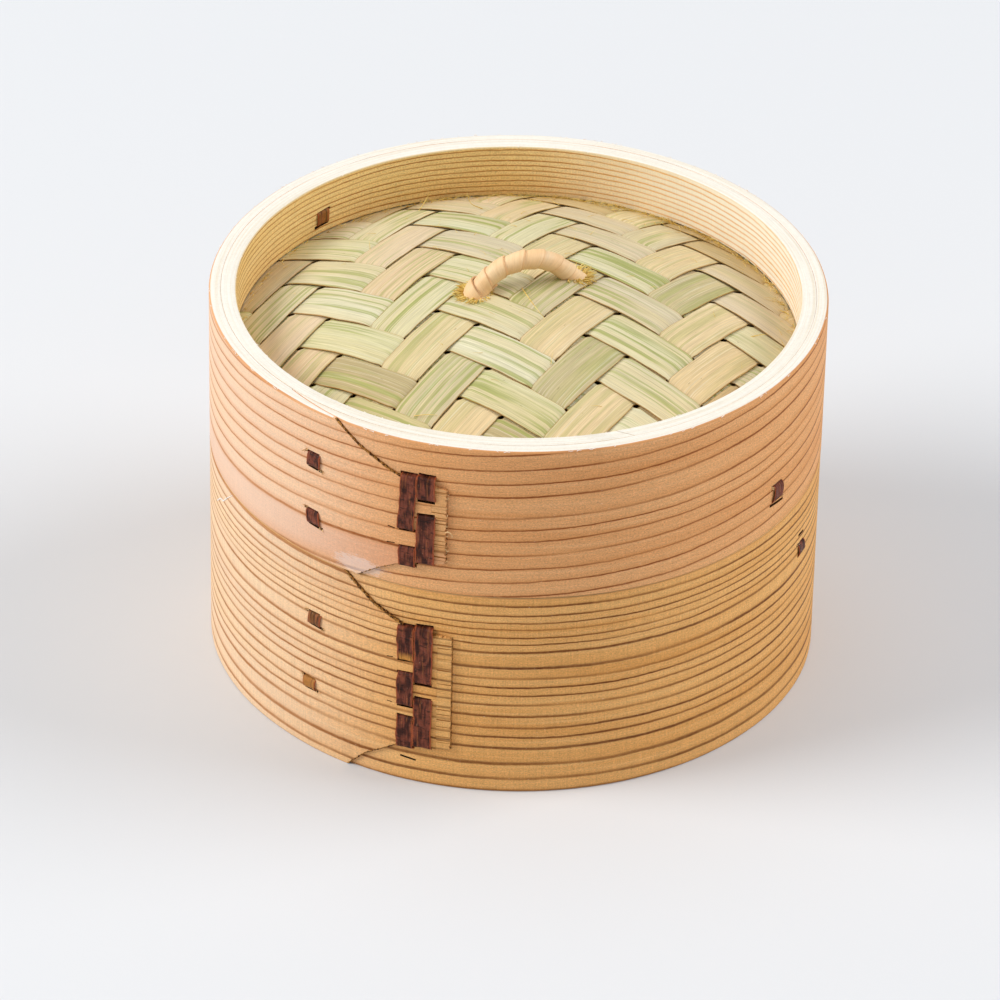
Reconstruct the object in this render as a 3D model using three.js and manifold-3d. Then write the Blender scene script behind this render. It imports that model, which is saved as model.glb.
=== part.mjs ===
// Round steamer basket with its lid, made of bent cedar hoops, a woven lid mat and a slatted floor.
// Millimetres, +Z up. The origin is the centre of the basket's bottom edge.
import * as THREE from "three";
import { mergeVertices } from "three/addons/utils/BufferGeometryUtils.js";
import Module from "manifold-3d";

const wasm = await Module();
wasm.setup();

// Driving dimensions -----------------------------------------------------------------------

const OUTER_R = 90; // outside of both outer hoops
const OUTER_T = 3.4; // thickness of an outer hoop
const INNER_T = 4.1; // thickness of an inner hoop
const GAP = 0.3; // air between pieces that touch
const BASKET_H = 66.8; // rim of the basket, where the lid sits
const LID_H = 49.1;
const SPIGOT_H = 6; // how far the basket's inner hoop stands above its rim
const BOTTOM_RECESS = 6.5; // height of the outer hoop below the lower inner hoop

const MAT_EDGE_Z = 31.5; // middle of the mat where it meets the wall, above the lid's bottom edge
const MAT_RISE = 16; // how much higher the middle of the mat is
const MAT_R = 85.6; // the mat's cut edge, clamped between the inner hoops
const MAT_OUTER_EDGE = 84.4; // outer edge of the outermost strips
const MAT_ANGLE = 56; // direction of the warp strips, in degrees from +X
const STRIP_T = 0.5;
const STRIP_SPACE = 1.2; // between neighbouring strips
const WARP = { count: 12, pitch: 14.2, squeeze: 0.02, middle: 6.5, step: 1 };
const WEFT = { count: 13, pitch: 15.2, squeeze: 0.055, middle: 6.9, step: 1.01 };
const TWILL = 4; // strips in one repeat of the over-two, under-two weave
const TWILL_START = 2; // the weft strip's place in the repeat where the first warp strip dives

const HANDLE_FOOT = [-12.6, -2.3]; // left foot in plan
const HANDLE_HEADING = 21.9; // towards the right foot, in degrees from +X
const CORE_R = 1.9;
const WRAP_T = 0.7;
const WRAP_TURNS = 6;
// The core's route: distance from the left foot, and height above the middle of the mat.
const HANDLE_ROUTE = [
  [-8.5, -4.2], [-4, -3.9], [-1.2, -1.6], [0.6, 1.2], [3.1, 4], [6.5, 6.7], [10.5, 8.1],
  [16, 8.7], [21.5, 7.7], [25.6, 5.3], [29, 2.4], [32, -0.6], [35.5, -3.6], [40.5, -4.3],
];

const SLAT_COUNT = 9;
const SLAT_PITCH = 17;
const SLAT_W = 11;
const SLAT_T = 2.5;
const SLAT_Z = 28; // underside of the slats
const SLAT_R = 85.9; // the slats' rounded ends, clamped between the inner hoops
const BATTEN_W = 7;
const BATTEN_T = 0.8;
const BATTEN_Y = 26;
const BATTEN_END = 76;
const BAR_W = 9;
const BAR_H = 5;
const BAR_Y = 46;

const BARK_W = 5;
const BARK_T = 0.5;
const BARK_PROUD = 0.6; // from the wood's face to the middle of the bark
const LACING_IN_R = 87; // middle of the bark where it runs behind the outer hoop
const TIE_H = 4.4; // between the middles of a tie's two legs

// A lap: the leaf's tip, where its upper and lower edges run, and the hidden inner end.
// Edges are [degrees, height] pairs that run from past the hoop's edge to the tip.
const LID_LAP = {
  tip: -102.2,
  upper: [[-126, 51], [-122.3, 47.1], [-116, 41.1], [-110.5, 37.1], [-102.2, 35.1]],
  lower: [[-123, -3.6], [-120, -0.9], [-115.3, 4.2], [-110.9, 7.8], [-102.2, 10.6]],
};
const BASKET_LAP = {
  tip: -100.8,
  upper: [[-124, 70], [-120.4, 64.9], [-115.8, 59.1], [-109.2, 53.8], [-100.8, 51.9]],
  lower: [[-123, -3.2], [-121, 0], [-117.4, 5.8], [-110.9, 12.2], [-100.8, 13.8]],
};
const LAP_TAIL = -137; // the hidden inner end of either hoop
const LAP_KNEE = -122; // where the leaf starts to thin
const LAP_FULL = -110; // where its face stands fully proud
const KNEE_PROUD = 0.5; // how far the leaf's face stands out from the hoop's
const TIP_PROUD = 1.1;
const TAIL_T = 3.1; // thickness of the hidden end at the knee, before the gap

// Angles of the slanted saw cuts where the inner hoops' ends meet.
const LID_SEAMS = { upper: -70, lower: 25 };
const BASKET_SEAMS = { upper: 140, lower: 60 };
const SAW_SLANT = 55;

// Each lacing is a bark strip at one angle; its outside stitches are [top, bottom] heights.
const LID_LACINGS = {
  left: { at: -109.4, stitches: [[37.9, 19.6], [14.2, 7.7]] },
  right: { at: -105.7, stitches: [[38.5, 30.4], [25.8, 9.3]] },
};
const BASKET_LACINGS = {
  left: { at: -109.2, stitches: [[53.7, 42], [38, 26.6], [22.9, 11.8]] },
  right: { at: -105.7, stitches: [[54.3, 34.8], [30.2, 12.7]] },
};
const LACING_TAIL = 3.5;

// Each tie is a bark loop round both hoops: [name, degrees, height of its middle].
const LID_TIES = [
  ["lid_tie_upper_left", -129, 32.4],
  ["lid_tie_upper_back", 135.8, 37.5],
  ["lid_tie_lower_left", -129, 13.2],
  ["lid_tie_lower_right", -33, 11.9],
  ["lid_tie_lower_back", 100, 13],
];
const BASKET_TIES = [
  ["basket_tie_upper_left", -128.5, 45.1],
  ["basket_tie_upper_right", -21, 49.2],
  ["basket_tie_upper_back", 72, 46],
  ["basket_tie_lower_left", -129.6, 22.3],
  ["basket_tie_lower_back", 168, 18],
];
const EMPTY_SLOTS = [
  { at: -108.9, z: 8, tilt: -14 },
  { at: -21, z: 54.8, tilt: 0 },
];
const SLOT_H = 1.1;

// Colours -----------------------------------------------------------------------------------

const cedarLid = () => new THREE.MeshStandardMaterial({ color: 0xe8bf95, roughness: 0.6 });
const cedarBasket = () => new THREE.MeshStandardMaterial({ color: 0xdcae72, roughness: 0.62 });
const cedarPale = () => new THREE.MeshStandardMaterial({ color: 0xead9a8, roughness: 0.65 });
const bamboo = () => new THREE.MeshStandardMaterial({ color: 0xcfcb9a, roughness: 0.5 });
const bambooSlat = () => new THREE.MeshStandardMaterial({ color: 0xd9c184, roughness: 0.55 });
const rattan = () => new THREE.MeshStandardMaterial({ color: 0xe3b98a, roughness: 0.5 });
const bark = () => new THREE.MeshStandardMaterial({ color: 0x55302a, roughness: 0.4 });

// Derived sizes and small helpers -------------------------------------------------------------

const OUTER_IN_R = OUTER_R - OUTER_T;
const INNER_OUT_R = OUTER_IN_R - GAP;
const INNER_R = INNER_OUT_R - INNER_T;
const RING_STEP = 6; // degrees between the corners of every ring
const LAP_STEP = 3;
const SIDES = 360 / RING_STEP;
const CLEARANCE = 2; // how far a cutter runs past what it cuts
const SAME_ANGLE = 0.01; // degrees
const SAME_STOP = 0.1;

// Radius where the lap's two leaves meet, and radius of the outer leaf's face.
const lapSplit = (tip) => [
  [LAP_TAIL, OUTER_IN_R + GAP], [LAP_KNEE, OUTER_IN_R + TAIL_T - GAP], [tip, OUTER_R],
];
const leafFace = (tip) => [
  [LAP_TAIL, OUTER_R], [LAP_KNEE, OUTER_R + KNEE_PROUD],
  [LAP_FULL, OUTER_R + TIP_PROUD], [tip, OUTER_R + TIP_PROUD],
];

const rad = THREE.MathUtils.degToRad;

function polar(r, degrees, z) {
  return new THREE.Vector3(r * Math.cos(rad(degrees)), r * Math.sin(rad(degrees)), z);
}

// Straight-line reading of a list of [x, value] pairs in rising x.
function read(pairs, x) {
  let i = 1;
  while (i < pairs.length - 1 && x > pairs[i][0]) i += 1;
  const [x0, v0] = pairs[i - 1];
  const [x1, v1] = pairs[i];
  return THREE.MathUtils.mapLinear(x, x0, x1, v0, v1);
}

// From one angle to another, with every whole multiple of the step between them.
function angles(from, to, step) {
  const list = [from];
  for (let a = Math.floor(from / step + 1) * step; a < to - SAME_ANGLE; a += step) {
    if (a > from + SAME_ANGLE) list.push(a);
  }
  list.push(to);
  return list;
}

// A closed solid through a row of convex sections with equal numbers of corners.
function loft(sections) {
  const corners = sections[0].length;
  const last = (sections.length - 1) * corners;
  const faces = [];
  for (let start = 0; start < last; start += corners) {
    for (let c = 0; c < corners; c += 1) {
      const a = start + c;
      const b = start + ((c + 1) % corners);
      faces.push([a, b, b + corners], [a, b + corners, a + corners]);
    }
  }
  for (let c = 1; c < corners - 1; c += 1) {
    faces.push([0, c + 1, c], [last, last + c, last + c + 1]);
  }
  const points = sections.flat();
  const volume = faces.reduce((sum, [a, b, c]) => {
    return sum + points[a].dot(points[b].clone().cross(points[c]));
  }, 0);
  if (volume < 0) faces.forEach((face) => face.reverse());
  const geometry = new THREE.BufferGeometry().setFromPoints(points);
  geometry.setIndex(faces.flat());
  return geometry;
}

function toSolid(geometry) {
  const bare = geometry.clone();
  bare.deleteAttribute("normal");
  bare.deleteAttribute("uv");
  const merged = mergeVertices(bare);
  const vertProperties = new Float32Array(merged.attributes.position.array);
  const triVerts = new Uint32Array(merged.index.array);
  return new wasm.Manifold(new wasm.Mesh({ numProp: 3, vertProperties, triVerts }));
}

function toGeometry(manifold) {
  const mesh = manifold.getMesh();
  const geometry = new THREE.BufferGeometry();
  geometry.setAttribute("position", new THREE.BufferAttribute(mesh.vertProperties, mesh.numProp));
  geometry.setIndex(new THREE.BufferAttribute(mesh.triVerts, 1));
  return geometry;
}

function cut(geometry, cutters) {
  let body = toSolid(geometry);
  for (const cutter of cutters) body = body.subtract(toSolid(cutter));
  return toGeometry(body);
}

function common(geometry, other) {
  return toGeometry(toSolid(geometry).intersect(toSolid(other)));
}

function drum(r, zLow, zHigh) {
  const geometry = new THREE.CylinderGeometry(r, r, zHigh - zLow, SIDES);
  return geometry.rotateX(Math.PI / 2).translate(0, 0, (zLow + zHigh) / 2);
}

// A slot-shaped cutter through a hoop's wall, tilted about the radius.
function slotCutter({ at, z, tilt }) {
  const geometry = new THREE.BoxGeometry(OUTER_T + CLEARANCE, BARK_W, SLOT_H);
  geometry.rotateX(rad(tilt)).translate(OUTER_IN_R + OUTER_T / 2 + GAP, 0, z);
  return geometry.rotateZ(rad(at));
}

// Bark strips ---------------------------------------------------------------------------------

// Both sides of a path in the radial plane, each half a thickness away, with square corners.
function pathSides(path, thickness) {
  const sides = [[], []];
  path.forEach((point, i) => {
    const here = new THREE.Vector2(...point);
    const before = i > 0 ? here.clone().sub(new THREE.Vector2(...path[i - 1])).normalize() : null;
    const after = i < path.length - 1
      ? new THREE.Vector2(...path[i + 1]).sub(here).normalize() : null;
    const a = before ?? after;
    const b = after ?? before;
    const mitre = new THREE.Vector2(-a.y - b.y, a.x + b.x).normalize();
    const reach = thickness / 2 / Math.abs(mitre.dot(new THREE.Vector2(-a.y, a.x)));
    sides[0].push(here.clone().addScaledVector(mitre, reach));
    sides[1].push(here.clone().addScaledVector(mitre, -reach));
  });
  return sides;
}

// Turns an outline of radius and height into a solid of the given width at one angle.
function radialPlate(shape, width, degrees) {
  const geometry = new THREE.ExtrudeGeometry(shape, { depth: width, bevelEnabled: false });
  return geometry.translate(0, 0, -width / 2).rotateX(Math.PI / 2).rotateZ(rad(degrees));
}

// A lacing goes in and out through the hoop; grow makes the cutter for its slots.
function lacing({ at, stitches }, outsideR, grow) {
  const top = stitches[0][0];
  const bottom = stitches[stitches.length - 1][1];
  const path = [[LACING_IN_R, top + LACING_TAIL + grow]];
  for (const [high, low] of stitches) {
    path.push([LACING_IN_R, high], [outsideR, high], [outsideR, low], [LACING_IN_R, low]);
  }
  path.push([LACING_IN_R, bottom - LACING_TAIL - grow]);
  const [left, right] = pathSides(path, BARK_T + 2 * grow);
  return radialPlate(new THREE.Shape([...left, ...right.reverse()]), BARK_W + 2 * grow, at);
}

function rectangle(r0, r1, z0, z1) {
  return [[r0, z0], [r1, z0], [r1, z1], [r0, z1]].map((p) => new THREE.Vector2(...p));
}

// A tie is a closed loop through both hoops; grow makes the cutter for its slots.
function tie(degrees, z, outsideR, grow) {
  const half = BARK_T / 2 + grow;
  const insideR = INNER_R - BARK_PROUD;
  const low = z - TIE_H / 2;
  const high = z + TIE_H / 2;
  const outline = rectangle(insideR - half, outsideR + half, low - half, high + half);
  const shape = new THREE.Shape(outline);
  const hole = rectangle(insideR + half, outsideR - half, low + half, high - half);
  shape.holes.push(new THREE.Path(hole));
  return radialPlate(shape, BARK_W + 2 * grow, degrees);
}

function faceAt(lap, degrees) {
  const inLap = degrees > LAP_TAIL && degrees < lap.tip;
  return inLap ? read(leafFace(lap.tip), degrees) : OUTER_R;
}

// Hoops ---------------------------------------------------------------------------------------

// One strip bent round more than a full turn: its outer end lies on its own inner end.
function lappedOutline(lap) {
  const split = lapSplit(lap.tip);
  const face = leafFace(lap.tip);
  const lapAngles = angles(LAP_TAIL, lap.tip, LAP_STEP);
  const roundAngles = angles(lap.tip, LAP_TAIL + 360, RING_STEP);
  const endSpace = THREE.MathUtils.radToDeg(GAP / OUTER_IN_R);
  const insideAngles = angles(LAP_TAIL, LAP_TAIL + 360 - endSpace, RING_STEP);
  return [
    ...lapAngles.map((a) => polar(read(split, a), a)),
    ...roundAngles.slice(1).map((a) => polar(OUTER_R, a)),
    ...lapAngles.slice(1).map((a) => polar(read(face, a), a)),
    ...lapAngles.toReversed().map((a) => polar(read(split, a) + GAP, a)),
    ...insideAngles.toReversed().map((a) => polar(OUTER_IN_R, a)),
  ];
}

// Cuts the leaf's corner away outside one of its edges, without touching the inner end.
function leafCutter(lap, edge, zEnd) {
  const split = lapSplit(lap.tip);
  const outside = OUTER_R + CLEARANCE;
  const past = lap.tip + 1;
  const stops = [...angles(edge[0][0], lap.tip, LAP_STEP), ...edge.slice(1, -1).map(([a]) => a)];
  stops.sort((a, b) => a - b);
  const unique = stops.filter((a, i) => i === 0 || a - stops[i - 1] > SAME_STOP);
  const sections = [...unique, past].map((a) => {
    const inside = read(split, Math.min(a, lap.tip)) + GAP / 2;
    const z = read(edge, Math.min(a, lap.tip));
    return [
      polar(inside, a, z), polar(outside, a, z), polar(outside, a, zEnd), polar(inside, a, zEnd),
    ];
  });
  return loft(sections);
}

function outerHoop(height, lap, cutters) {
  const shape = new THREE.Shape(lappedOutline(lap).map((p) => new THREE.Vector2(p.x, p.y)));
  const geometry = new THREE.ExtrudeGeometry(shape, { depth: height, bevelEnabled: false });
  const corners = [
    leafCutter(lap, lap.upper, height + 2 * CLEARANCE),
    leafCutter(lap, lap.lower, -3 * CLEARANCE),
  ];
  return cut(geometry, [...corners, ...cutters]);
}

// A plain ring whose ends may slope; the seam is a slanted saw cut through the strip.
function innerHoop(lowInside, lowOutside, highInside, highOutside, seam, cutters) {
  const profile = [
    [INNER_R, lowInside], [INNER_OUT_R, lowOutside],
    [INNER_OUT_R, highOutside], [INNER_R, highInside], [INNER_R, lowInside],
  ].map((p) => new THREE.Vector2(...p));
  const ring = new THREE.LatheGeometry(profile, SIDES).rotateX(Math.PI / 2);
  const middle = (lowInside + highInside) / 2;
  const saw = new THREE.BoxGeometry(4 * INNER_T, GAP, 2 * (highInside - lowInside));
  saw.rotateZ(rad(SAW_SLANT)).translate(INNER_R + INNER_T / 2, 0, middle).rotateZ(rad(seam));
  return cut(ring, [saw, ...cutters]);
}

// Woven mat -----------------------------------------------------------------------------------

const matAngle = rad(MAT_ANGLE);
const WARP_DIRECTION = new THREE.Vector2(Math.cos(matAngle), Math.sin(matAngle));
const WEFT_DIRECTION = new THREE.Vector2(Math.sin(matAngle), -Math.cos(matAngle));

function matZ(x, y) {
  return MAT_EDGE_Z + MAT_RISE * (1 - (x * x + y * y) / (INNER_R * INNER_R));
}

// Strips lie closer together towards the edge, where the mat slopes down.
function stripPlace(set, number) {
  const u = set.step * (number - set.middle);
  return set.pitch * u - set.squeeze * u ** 3;
}

function stripEdges(set, number) {
  const low = stripPlace(set, number - 0.5) + STRIP_SPACE / 2;
  const high = stripPlace(set, number + 0.5) - STRIP_SPACE / 2;
  return [number === 1 ? -MAT_OUTER_EDGE : low, number === set.count ? MAT_OUTER_EDGE : high];
}

function warpOnTop(warp, weft) {
  return (weft + warp + TWILL_START) % TWILL < TWILL / 2;
}

// One strip: flat where it crosses another, and stepping up or down in the spaces between.
function strip(edges, along, across, crossings) {
  const lift = (STRIP_T + GAP) / 2;
  const sections = [];
  crossings.forEach(([low, high, onTop], i) => {
    const first = i === 0 ? low - CLEARANCE : low;
    const last = i === crossings.length - 1 ? high + CLEARANCE : high;
    for (const t of [first, last]) {
      const corners = edges.map((s) => along.clone().multiplyScalar(t).addScaledVector(across, s));
      const middles = corners.map((p) => matZ(p.x, p.y) + (onTop ? lift : -lift));
      sections.push([
        new THREE.Vector3(corners[0].x, corners[0].y, middles[0] - STRIP_T / 2),
        new THREE.Vector3(corners[1].x, corners[1].y, middles[1] - STRIP_T / 2),
        new THREE.Vector3(corners[1].x, corners[1].y, middles[1] + STRIP_T / 2),
        new THREE.Vector3(corners[0].x, corners[0].y, middles[0] + STRIP_T / 2),
      ]);
    }
  });
  return loft(sections);
}

function numbers(count) {
  return Array.from({ length: count }, (_, i) => i + 1);
}

function warpStrip(warp) {
  const crossings = numbers(WEFT.count).map((weft) => {
    return [...stripEdges(WEFT, weft), warpOnTop(warp, weft)];
  });
  return strip(stripEdges(WARP, warp), WARP_DIRECTION, WEFT_DIRECTION, crossings);
}

function weftStrip(weft) {
  const crossings = numbers(WARP.count).map((warp) => {
    return [...stripEdges(WARP, warp), !warpOnTop(warp, weft)];
  });
  return strip(stripEdges(WEFT, weft), WEFT_DIRECTION, WARP_DIRECTION, crossings);
}

// Handle --------------------------------------------------------------------------------------

const CORE_STEPS = 36;
const CORE_SIDES = 4; // curve segments in each half of the round section
const WRAP_STEPS = 12; // sections in one turn
const WRAP_FROM = 0.25; // share of the core's length where the wrap starts and ends
const WRAP_TO = 0.79;

function handleCurve() {
  const heading = new THREE.Vector2(1, 0).rotateAround(new THREE.Vector2(), rad(HANDLE_HEADING));
  const points = HANDLE_ROUTE.map(([distance, height]) => {
    const x = HANDLE_FOOT[0] + heading.x * distance;
    const y = HANDLE_FOOT[1] + heading.y * distance;
    return new THREE.Vector3(x, y, matZ(x, y) + height);
  });
  return new THREE.CatmullRomCurve3(points);
}

function handleCore(r) {
  const section = new THREE.Shape();
  section.absarc(0, 0, r, 0, 2 * Math.PI);
  const options = {
    steps: CORE_STEPS, bevelEnabled: false, extrudePath: handleCurve(), curveSegments: CORE_SIDES,
  };
  return new THREE.ExtrudeGeometry(section, options);
}

// One strip wound round the core, edge to edge.
function handleWrap() {
  const curve = handleCurve();
  const side = new THREE.Vector3(-Math.sin(rad(HANDLE_HEADING)), Math.cos(rad(HANDLE_HEADING)), 0);
  const count = WRAP_TURNS * WRAP_STEPS;
  const pitch = (WRAP_TO - WRAP_FROM) / (WRAP_TURNS + 1);
  const space = GAP / curve.getLength();
  const inside = CORE_R + GAP;
  const sections = Array.from({ length: count + 1 }, (_, i) => {
    const turn = i / WRAP_STEPS;
    const from = WRAP_FROM + pitch * turn;
    const onCurve = (at, r) => {
      const up = side.clone().cross(curve.getTangentAt(at)).negate();
      const out = up.multiplyScalar(Math.cos(2 * Math.PI * turn));
      out.addScaledVector(side, Math.sin(2 * Math.PI * turn));
      return curve.getPointAt(at).addScaledVector(out, r);
    };
    const to = from + pitch - space;
    return [
      onCurve(from, inside), onCurve(to, inside),
      onCurve(to, inside + WRAP_T), onCurve(from, inside + WRAP_T),
    ];
  });
  return loft(sections);
}

// Floor ---------------------------------------------------------------------------------------

function slatX(number) {
  return (number - (SLAT_COUNT + 1) / 2) * SLAT_PITCH;
}

function slat(number) {
  const blank = new THREE.BoxGeometry(SLAT_W, 2 * OUTER_R, SLAT_T);
  blank.translate(slatX(number), 0, SLAT_Z + SLAT_T / 2);
  return common(blank, drum(SLAT_R, SLAT_Z - CLEARANCE, SLAT_Z + SLAT_T + CLEARANCE));
}

// A thin batten woven over and under the slats; the two battens take opposite sides.
function batten(y, overFirst) {
  const over = SLAT_Z + SLAT_T + GAP + BATTEN_T / 2;
  const under = SLAT_Z - GAP - BATTEN_T / 2;
  const sections = [];
  const section = (x, z) => [
    new THREE.Vector3(x, y - BATTEN_W / 2, z - BATTEN_T / 2),
    new THREE.Vector3(x, y + BATTEN_W / 2, z - BATTEN_T / 2),
    new THREE.Vector3(x, y + BATTEN_W / 2, z + BATTEN_T / 2),
    new THREE.Vector3(x, y - BATTEN_W / 2, z + BATTEN_T / 2),
  ];
  for (const number of numbers(SLAT_COUNT)) {
    const z = (number % 2 === 1) === overFirst ? over : under;
    const half = SLAT_W / 2 + GAP;
    const first = number === 1 ? -BATTEN_END : slatX(number) - half;
    const last = number === SLAT_COUNT ? BATTEN_END : slatX(number) + half;
    sections.push(section(first, z), section(last, z));
  }
  return loft(sections);
}

function supportBar(y, grow) {
  const top = SLAT_Z - GAP;
  const blank = new THREE.BoxGeometry(2 * OUTER_R, BAR_W + 2 * grow, BAR_H + 2 * grow);
  blank.translate(0, y, top - BAR_H / 2);
  if (grow > 0) return blank;
  return common(blank, drum(OUTER_IN_R - 2 * GAP, top - 2 * BAR_H, top + CLEARANCE));
}

// Assembly ------------------------------------------------------------------------------------

const lid = new THREE.Group();
lid.position.z = BASKET_H;
const basket = new THREE.Group();

function add(group, name, geometry, material) {
  const mesh = new THREE.Mesh(geometry, material);
  mesh.name = name;
  group.add(mesh);
}

function addBark(group, lap, prefix, lacings, ties) {
  const cutters = [];
  for (const [side, spec] of Object.entries(lacings)) {
    const outsideR = faceAt(lap, spec.at) + BARK_PROUD;
    add(group, `${prefix}_lacing_${side}`, lacing(spec, outsideR, 0), bark());
    cutters.push(lacing(spec, outsideR, GAP));
  }
  for (const [name, degrees, z] of ties) {
    const outsideR = faceAt(lap, degrees) + BARK_PROUD;
    add(group, name, tie(degrees, z, outsideR, 0), bark());
    cutters.push(tie(degrees, z, outsideR, GAP));
  }
  return cutters;
}

// The lid rests on the basket's rim, so each hoop stops half a gap short of the joint line.
const rest = GAP / 2;
const lidCutters = addBark(lid, LID_LAP, "lid", LID_LACINGS, LID_TIES);
const lidTieCutters = lidCutters.slice(Object.keys(LID_LACINGS).length);
const basketCutters = addBark(basket, BASKET_LAP, "basket", BASKET_LACINGS, BASKET_TIES);
const basketTieCutters = basketCutters.slice(Object.keys(BASKET_LACINGS).length);

const matHalf = STRIP_T + GAP / 2;
const clampInside = matHalf + GAP;
const matOutside = matZ(INNER_OUT_R, 0);
const lowered = lidCutters.map((cutter) => cutter.clone().translate(0, 0, -rest));
const lidOuter = outerHoop(LID_H - rest, LID_LAP, lowered);
add(lid, "lid_outer_hoop", lidOuter.translate(0, 0, rest), cedarLid());
add(lid, "lid_upper_inner_hoop", innerHoop(
  MAT_EDGE_Z + clampInside, matOutside + clampInside, LID_H, LID_H, LID_SEAMS.upper, lidTieCutters,
), cedarPale());
add(lid, "lid_lower_inner_hoop", innerHoop(
  BOTTOM_RECESS, BOTTOM_RECESS, MAT_EDGE_Z - clampInside, matOutside - clampInside,
  LID_SEAMS.lower, lidTieCutters,
), cedarPale());

const matTrim = drum(MAT_R, 0, LID_H);
const matCutters = [handleCore(CORE_R + GAP), ...lidTieCutters];
const twoDigits = (number) => String(number).padStart(2, "0");
for (const warp of numbers(WARP.count)) {
  const geometry = cut(common(warpStrip(warp), matTrim), matCutters);
  add(lid, `lid_warp_strip_${twoDigits(warp)}`, geometry, bamboo());
}
for (const weft of numbers(WEFT.count)) {
  const geometry = cut(common(weftStrip(weft), matTrim), matCutters);
  add(lid, `lid_weft_strip_${twoDigits(weft)}`, geometry, bamboo());
}
add(lid, "handle_core", handleCore(CORE_R), rattan());
add(lid, "handle_wrap", handleWrap(), rattan());

const slots = EMPTY_SLOTS.map(slotCutter);
const basketOuter = outerHoop(BASKET_H - rest, BASKET_LAP, [...basketCutters, ...slots]);
add(basket, "basket_outer_hoop", basketOuter, cedarBasket());
const floorTop = SLAT_Z + SLAT_T + GAP;
const spigotTop = BASKET_H + SPIGOT_H;
add(basket, "basket_upper_inner_hoop", innerHoop(
  floorTop, floorTop, spigotTop, spigotTop, BASKET_SEAMS.upper, basketTieCutters,
), cedarPale());
const floorLow = SLAT_Z - GAP;
const barCutters = [BAR_Y, -BAR_Y].map((y) => supportBar(y, GAP));
add(basket, "basket_lower_inner_hoop", innerHoop(
  BOTTOM_RECESS, BOTTOM_RECESS, floorLow, floorLow,
  BASKET_SEAMS.lower, [...barCutters, ...basketTieCutters],
), cedarPale());
for (const number of numbers(SLAT_COUNT)) {
  add(basket, `floor_slat_${number}`, slat(number), bambooSlat());
}
add(basket, "floor_batten_front", batten(-BATTEN_Y, true), bambooSlat());
add(basket, "floor_batten_back", batten(BATTEN_Y, false), bambooSlat());
add(basket, "floor_support_bar_front", supportBar(-BAR_Y, 0), bambooSlat());
add(basket, "floor_support_bar_back", supportBar(BAR_Y, 0), bambooSlat());

const steamer = new THREE.Group();
steamer.add(basket, lid);
steamer.updateMatrixWorld(true);
export default steamer;
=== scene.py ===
import math
from functools import cached_property
from types import SimpleNamespace

import bpy
import numpy as np
from mathutils import Matrix, Vector


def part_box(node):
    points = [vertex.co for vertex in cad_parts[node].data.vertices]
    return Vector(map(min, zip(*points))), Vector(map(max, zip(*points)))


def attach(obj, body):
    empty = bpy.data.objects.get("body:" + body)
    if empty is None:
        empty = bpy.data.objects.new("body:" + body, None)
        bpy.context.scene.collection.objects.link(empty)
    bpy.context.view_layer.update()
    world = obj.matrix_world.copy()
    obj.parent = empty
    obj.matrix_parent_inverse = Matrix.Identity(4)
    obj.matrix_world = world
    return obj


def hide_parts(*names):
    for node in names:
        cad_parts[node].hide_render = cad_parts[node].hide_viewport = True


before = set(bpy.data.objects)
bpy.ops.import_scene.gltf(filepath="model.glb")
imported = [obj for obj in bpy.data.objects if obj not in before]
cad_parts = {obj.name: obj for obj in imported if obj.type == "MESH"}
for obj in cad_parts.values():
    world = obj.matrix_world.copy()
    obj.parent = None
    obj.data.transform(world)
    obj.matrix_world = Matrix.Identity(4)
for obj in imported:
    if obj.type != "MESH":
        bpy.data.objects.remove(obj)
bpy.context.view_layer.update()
scene = bpy.context.scene

# Sizes in millimetres, as the CAD model has them -------------------------------------------------

MM = 0.001
DEG = math.pi / 180


def low_of(node):
    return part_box(node)[0].z / MM


def top_of(node):
    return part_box(node)[1].z / MM


def box_mm(node):
    return [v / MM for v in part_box(node)]


OUTER_T = 3.4  # thickness of the outer hoops
INNER_T = 4.4  # from the outer hoops' inside to the inner hoops' inside
HOOP_GAP = 0.06
OUTER_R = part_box("basket_outer_hoop")[1].x / MM
OUTER_IN = OUTER_R - OUTER_T
INNER_OUT = OUTER_IN - HOOP_GAP
INNER_R = OUTER_IN - INNER_T
JOINT_Z = (top_of("basket_outer_hoop") + low_of("lid_outer_hoop")) / 2
RIM_Z = top_of("lid_outer_hoop")
REST = 0.1  # half the hairline between the lid and the basket

# The laps: where a strip's hidden inner end starts, and where its outer leaf thins, in degrees.
TAIL = -137.0
KNEE = -122.0

MAT_EDGE_Z = JOINT_Z + 31.5
MAT_RISE = 16.0
MAT_REACH = 84.3
MAT_CLAMP = 0.85  # from the middle of the mat to the hoops above and below it
FLOOR_Z = low_of("floor_slat_5")
FLOOR_TOP = top_of("floor_slat_5")

# Small helpers -----------------------------------------------------------------------------------


def ripple(x, seed, period, octaves=3):
    """Smooth unevenness between about -1 and 1."""
    rng = np.random.default_rng(seed)
    x = np.asarray(x, float)
    total = np.zeros_like(x)
    weight = 0.0
    for k in range(octaves):
        length = period / 1.9**k * rng.uniform(0.8, 1.25)
        total += 0.6**k * np.sin(2 * np.pi * x / length + rng.uniform(0, 2 * np.pi))
        weight += 0.6**k
    return total / weight


def smooth(x, a, b):
    """0 before a, 1 after b, smooth between; a may be above b."""
    t = np.clip((np.asarray(x, float) - a) / (b - a), 0, 1)
    return t * t * (3 - 2 * t)


def read(pairs, x):
    """The value at x of a line through (x, value) pairs."""
    xs, ys = zip(*pairs)
    return np.interp(x, xs, ys)


def polar(r, degrees, z):
    r, a, z = np.broadcast_arrays(r, np.asarray(degrees, float) * DEG, z)
    return np.stack([r * np.cos(a), r * np.sin(a), z], -1)


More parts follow.
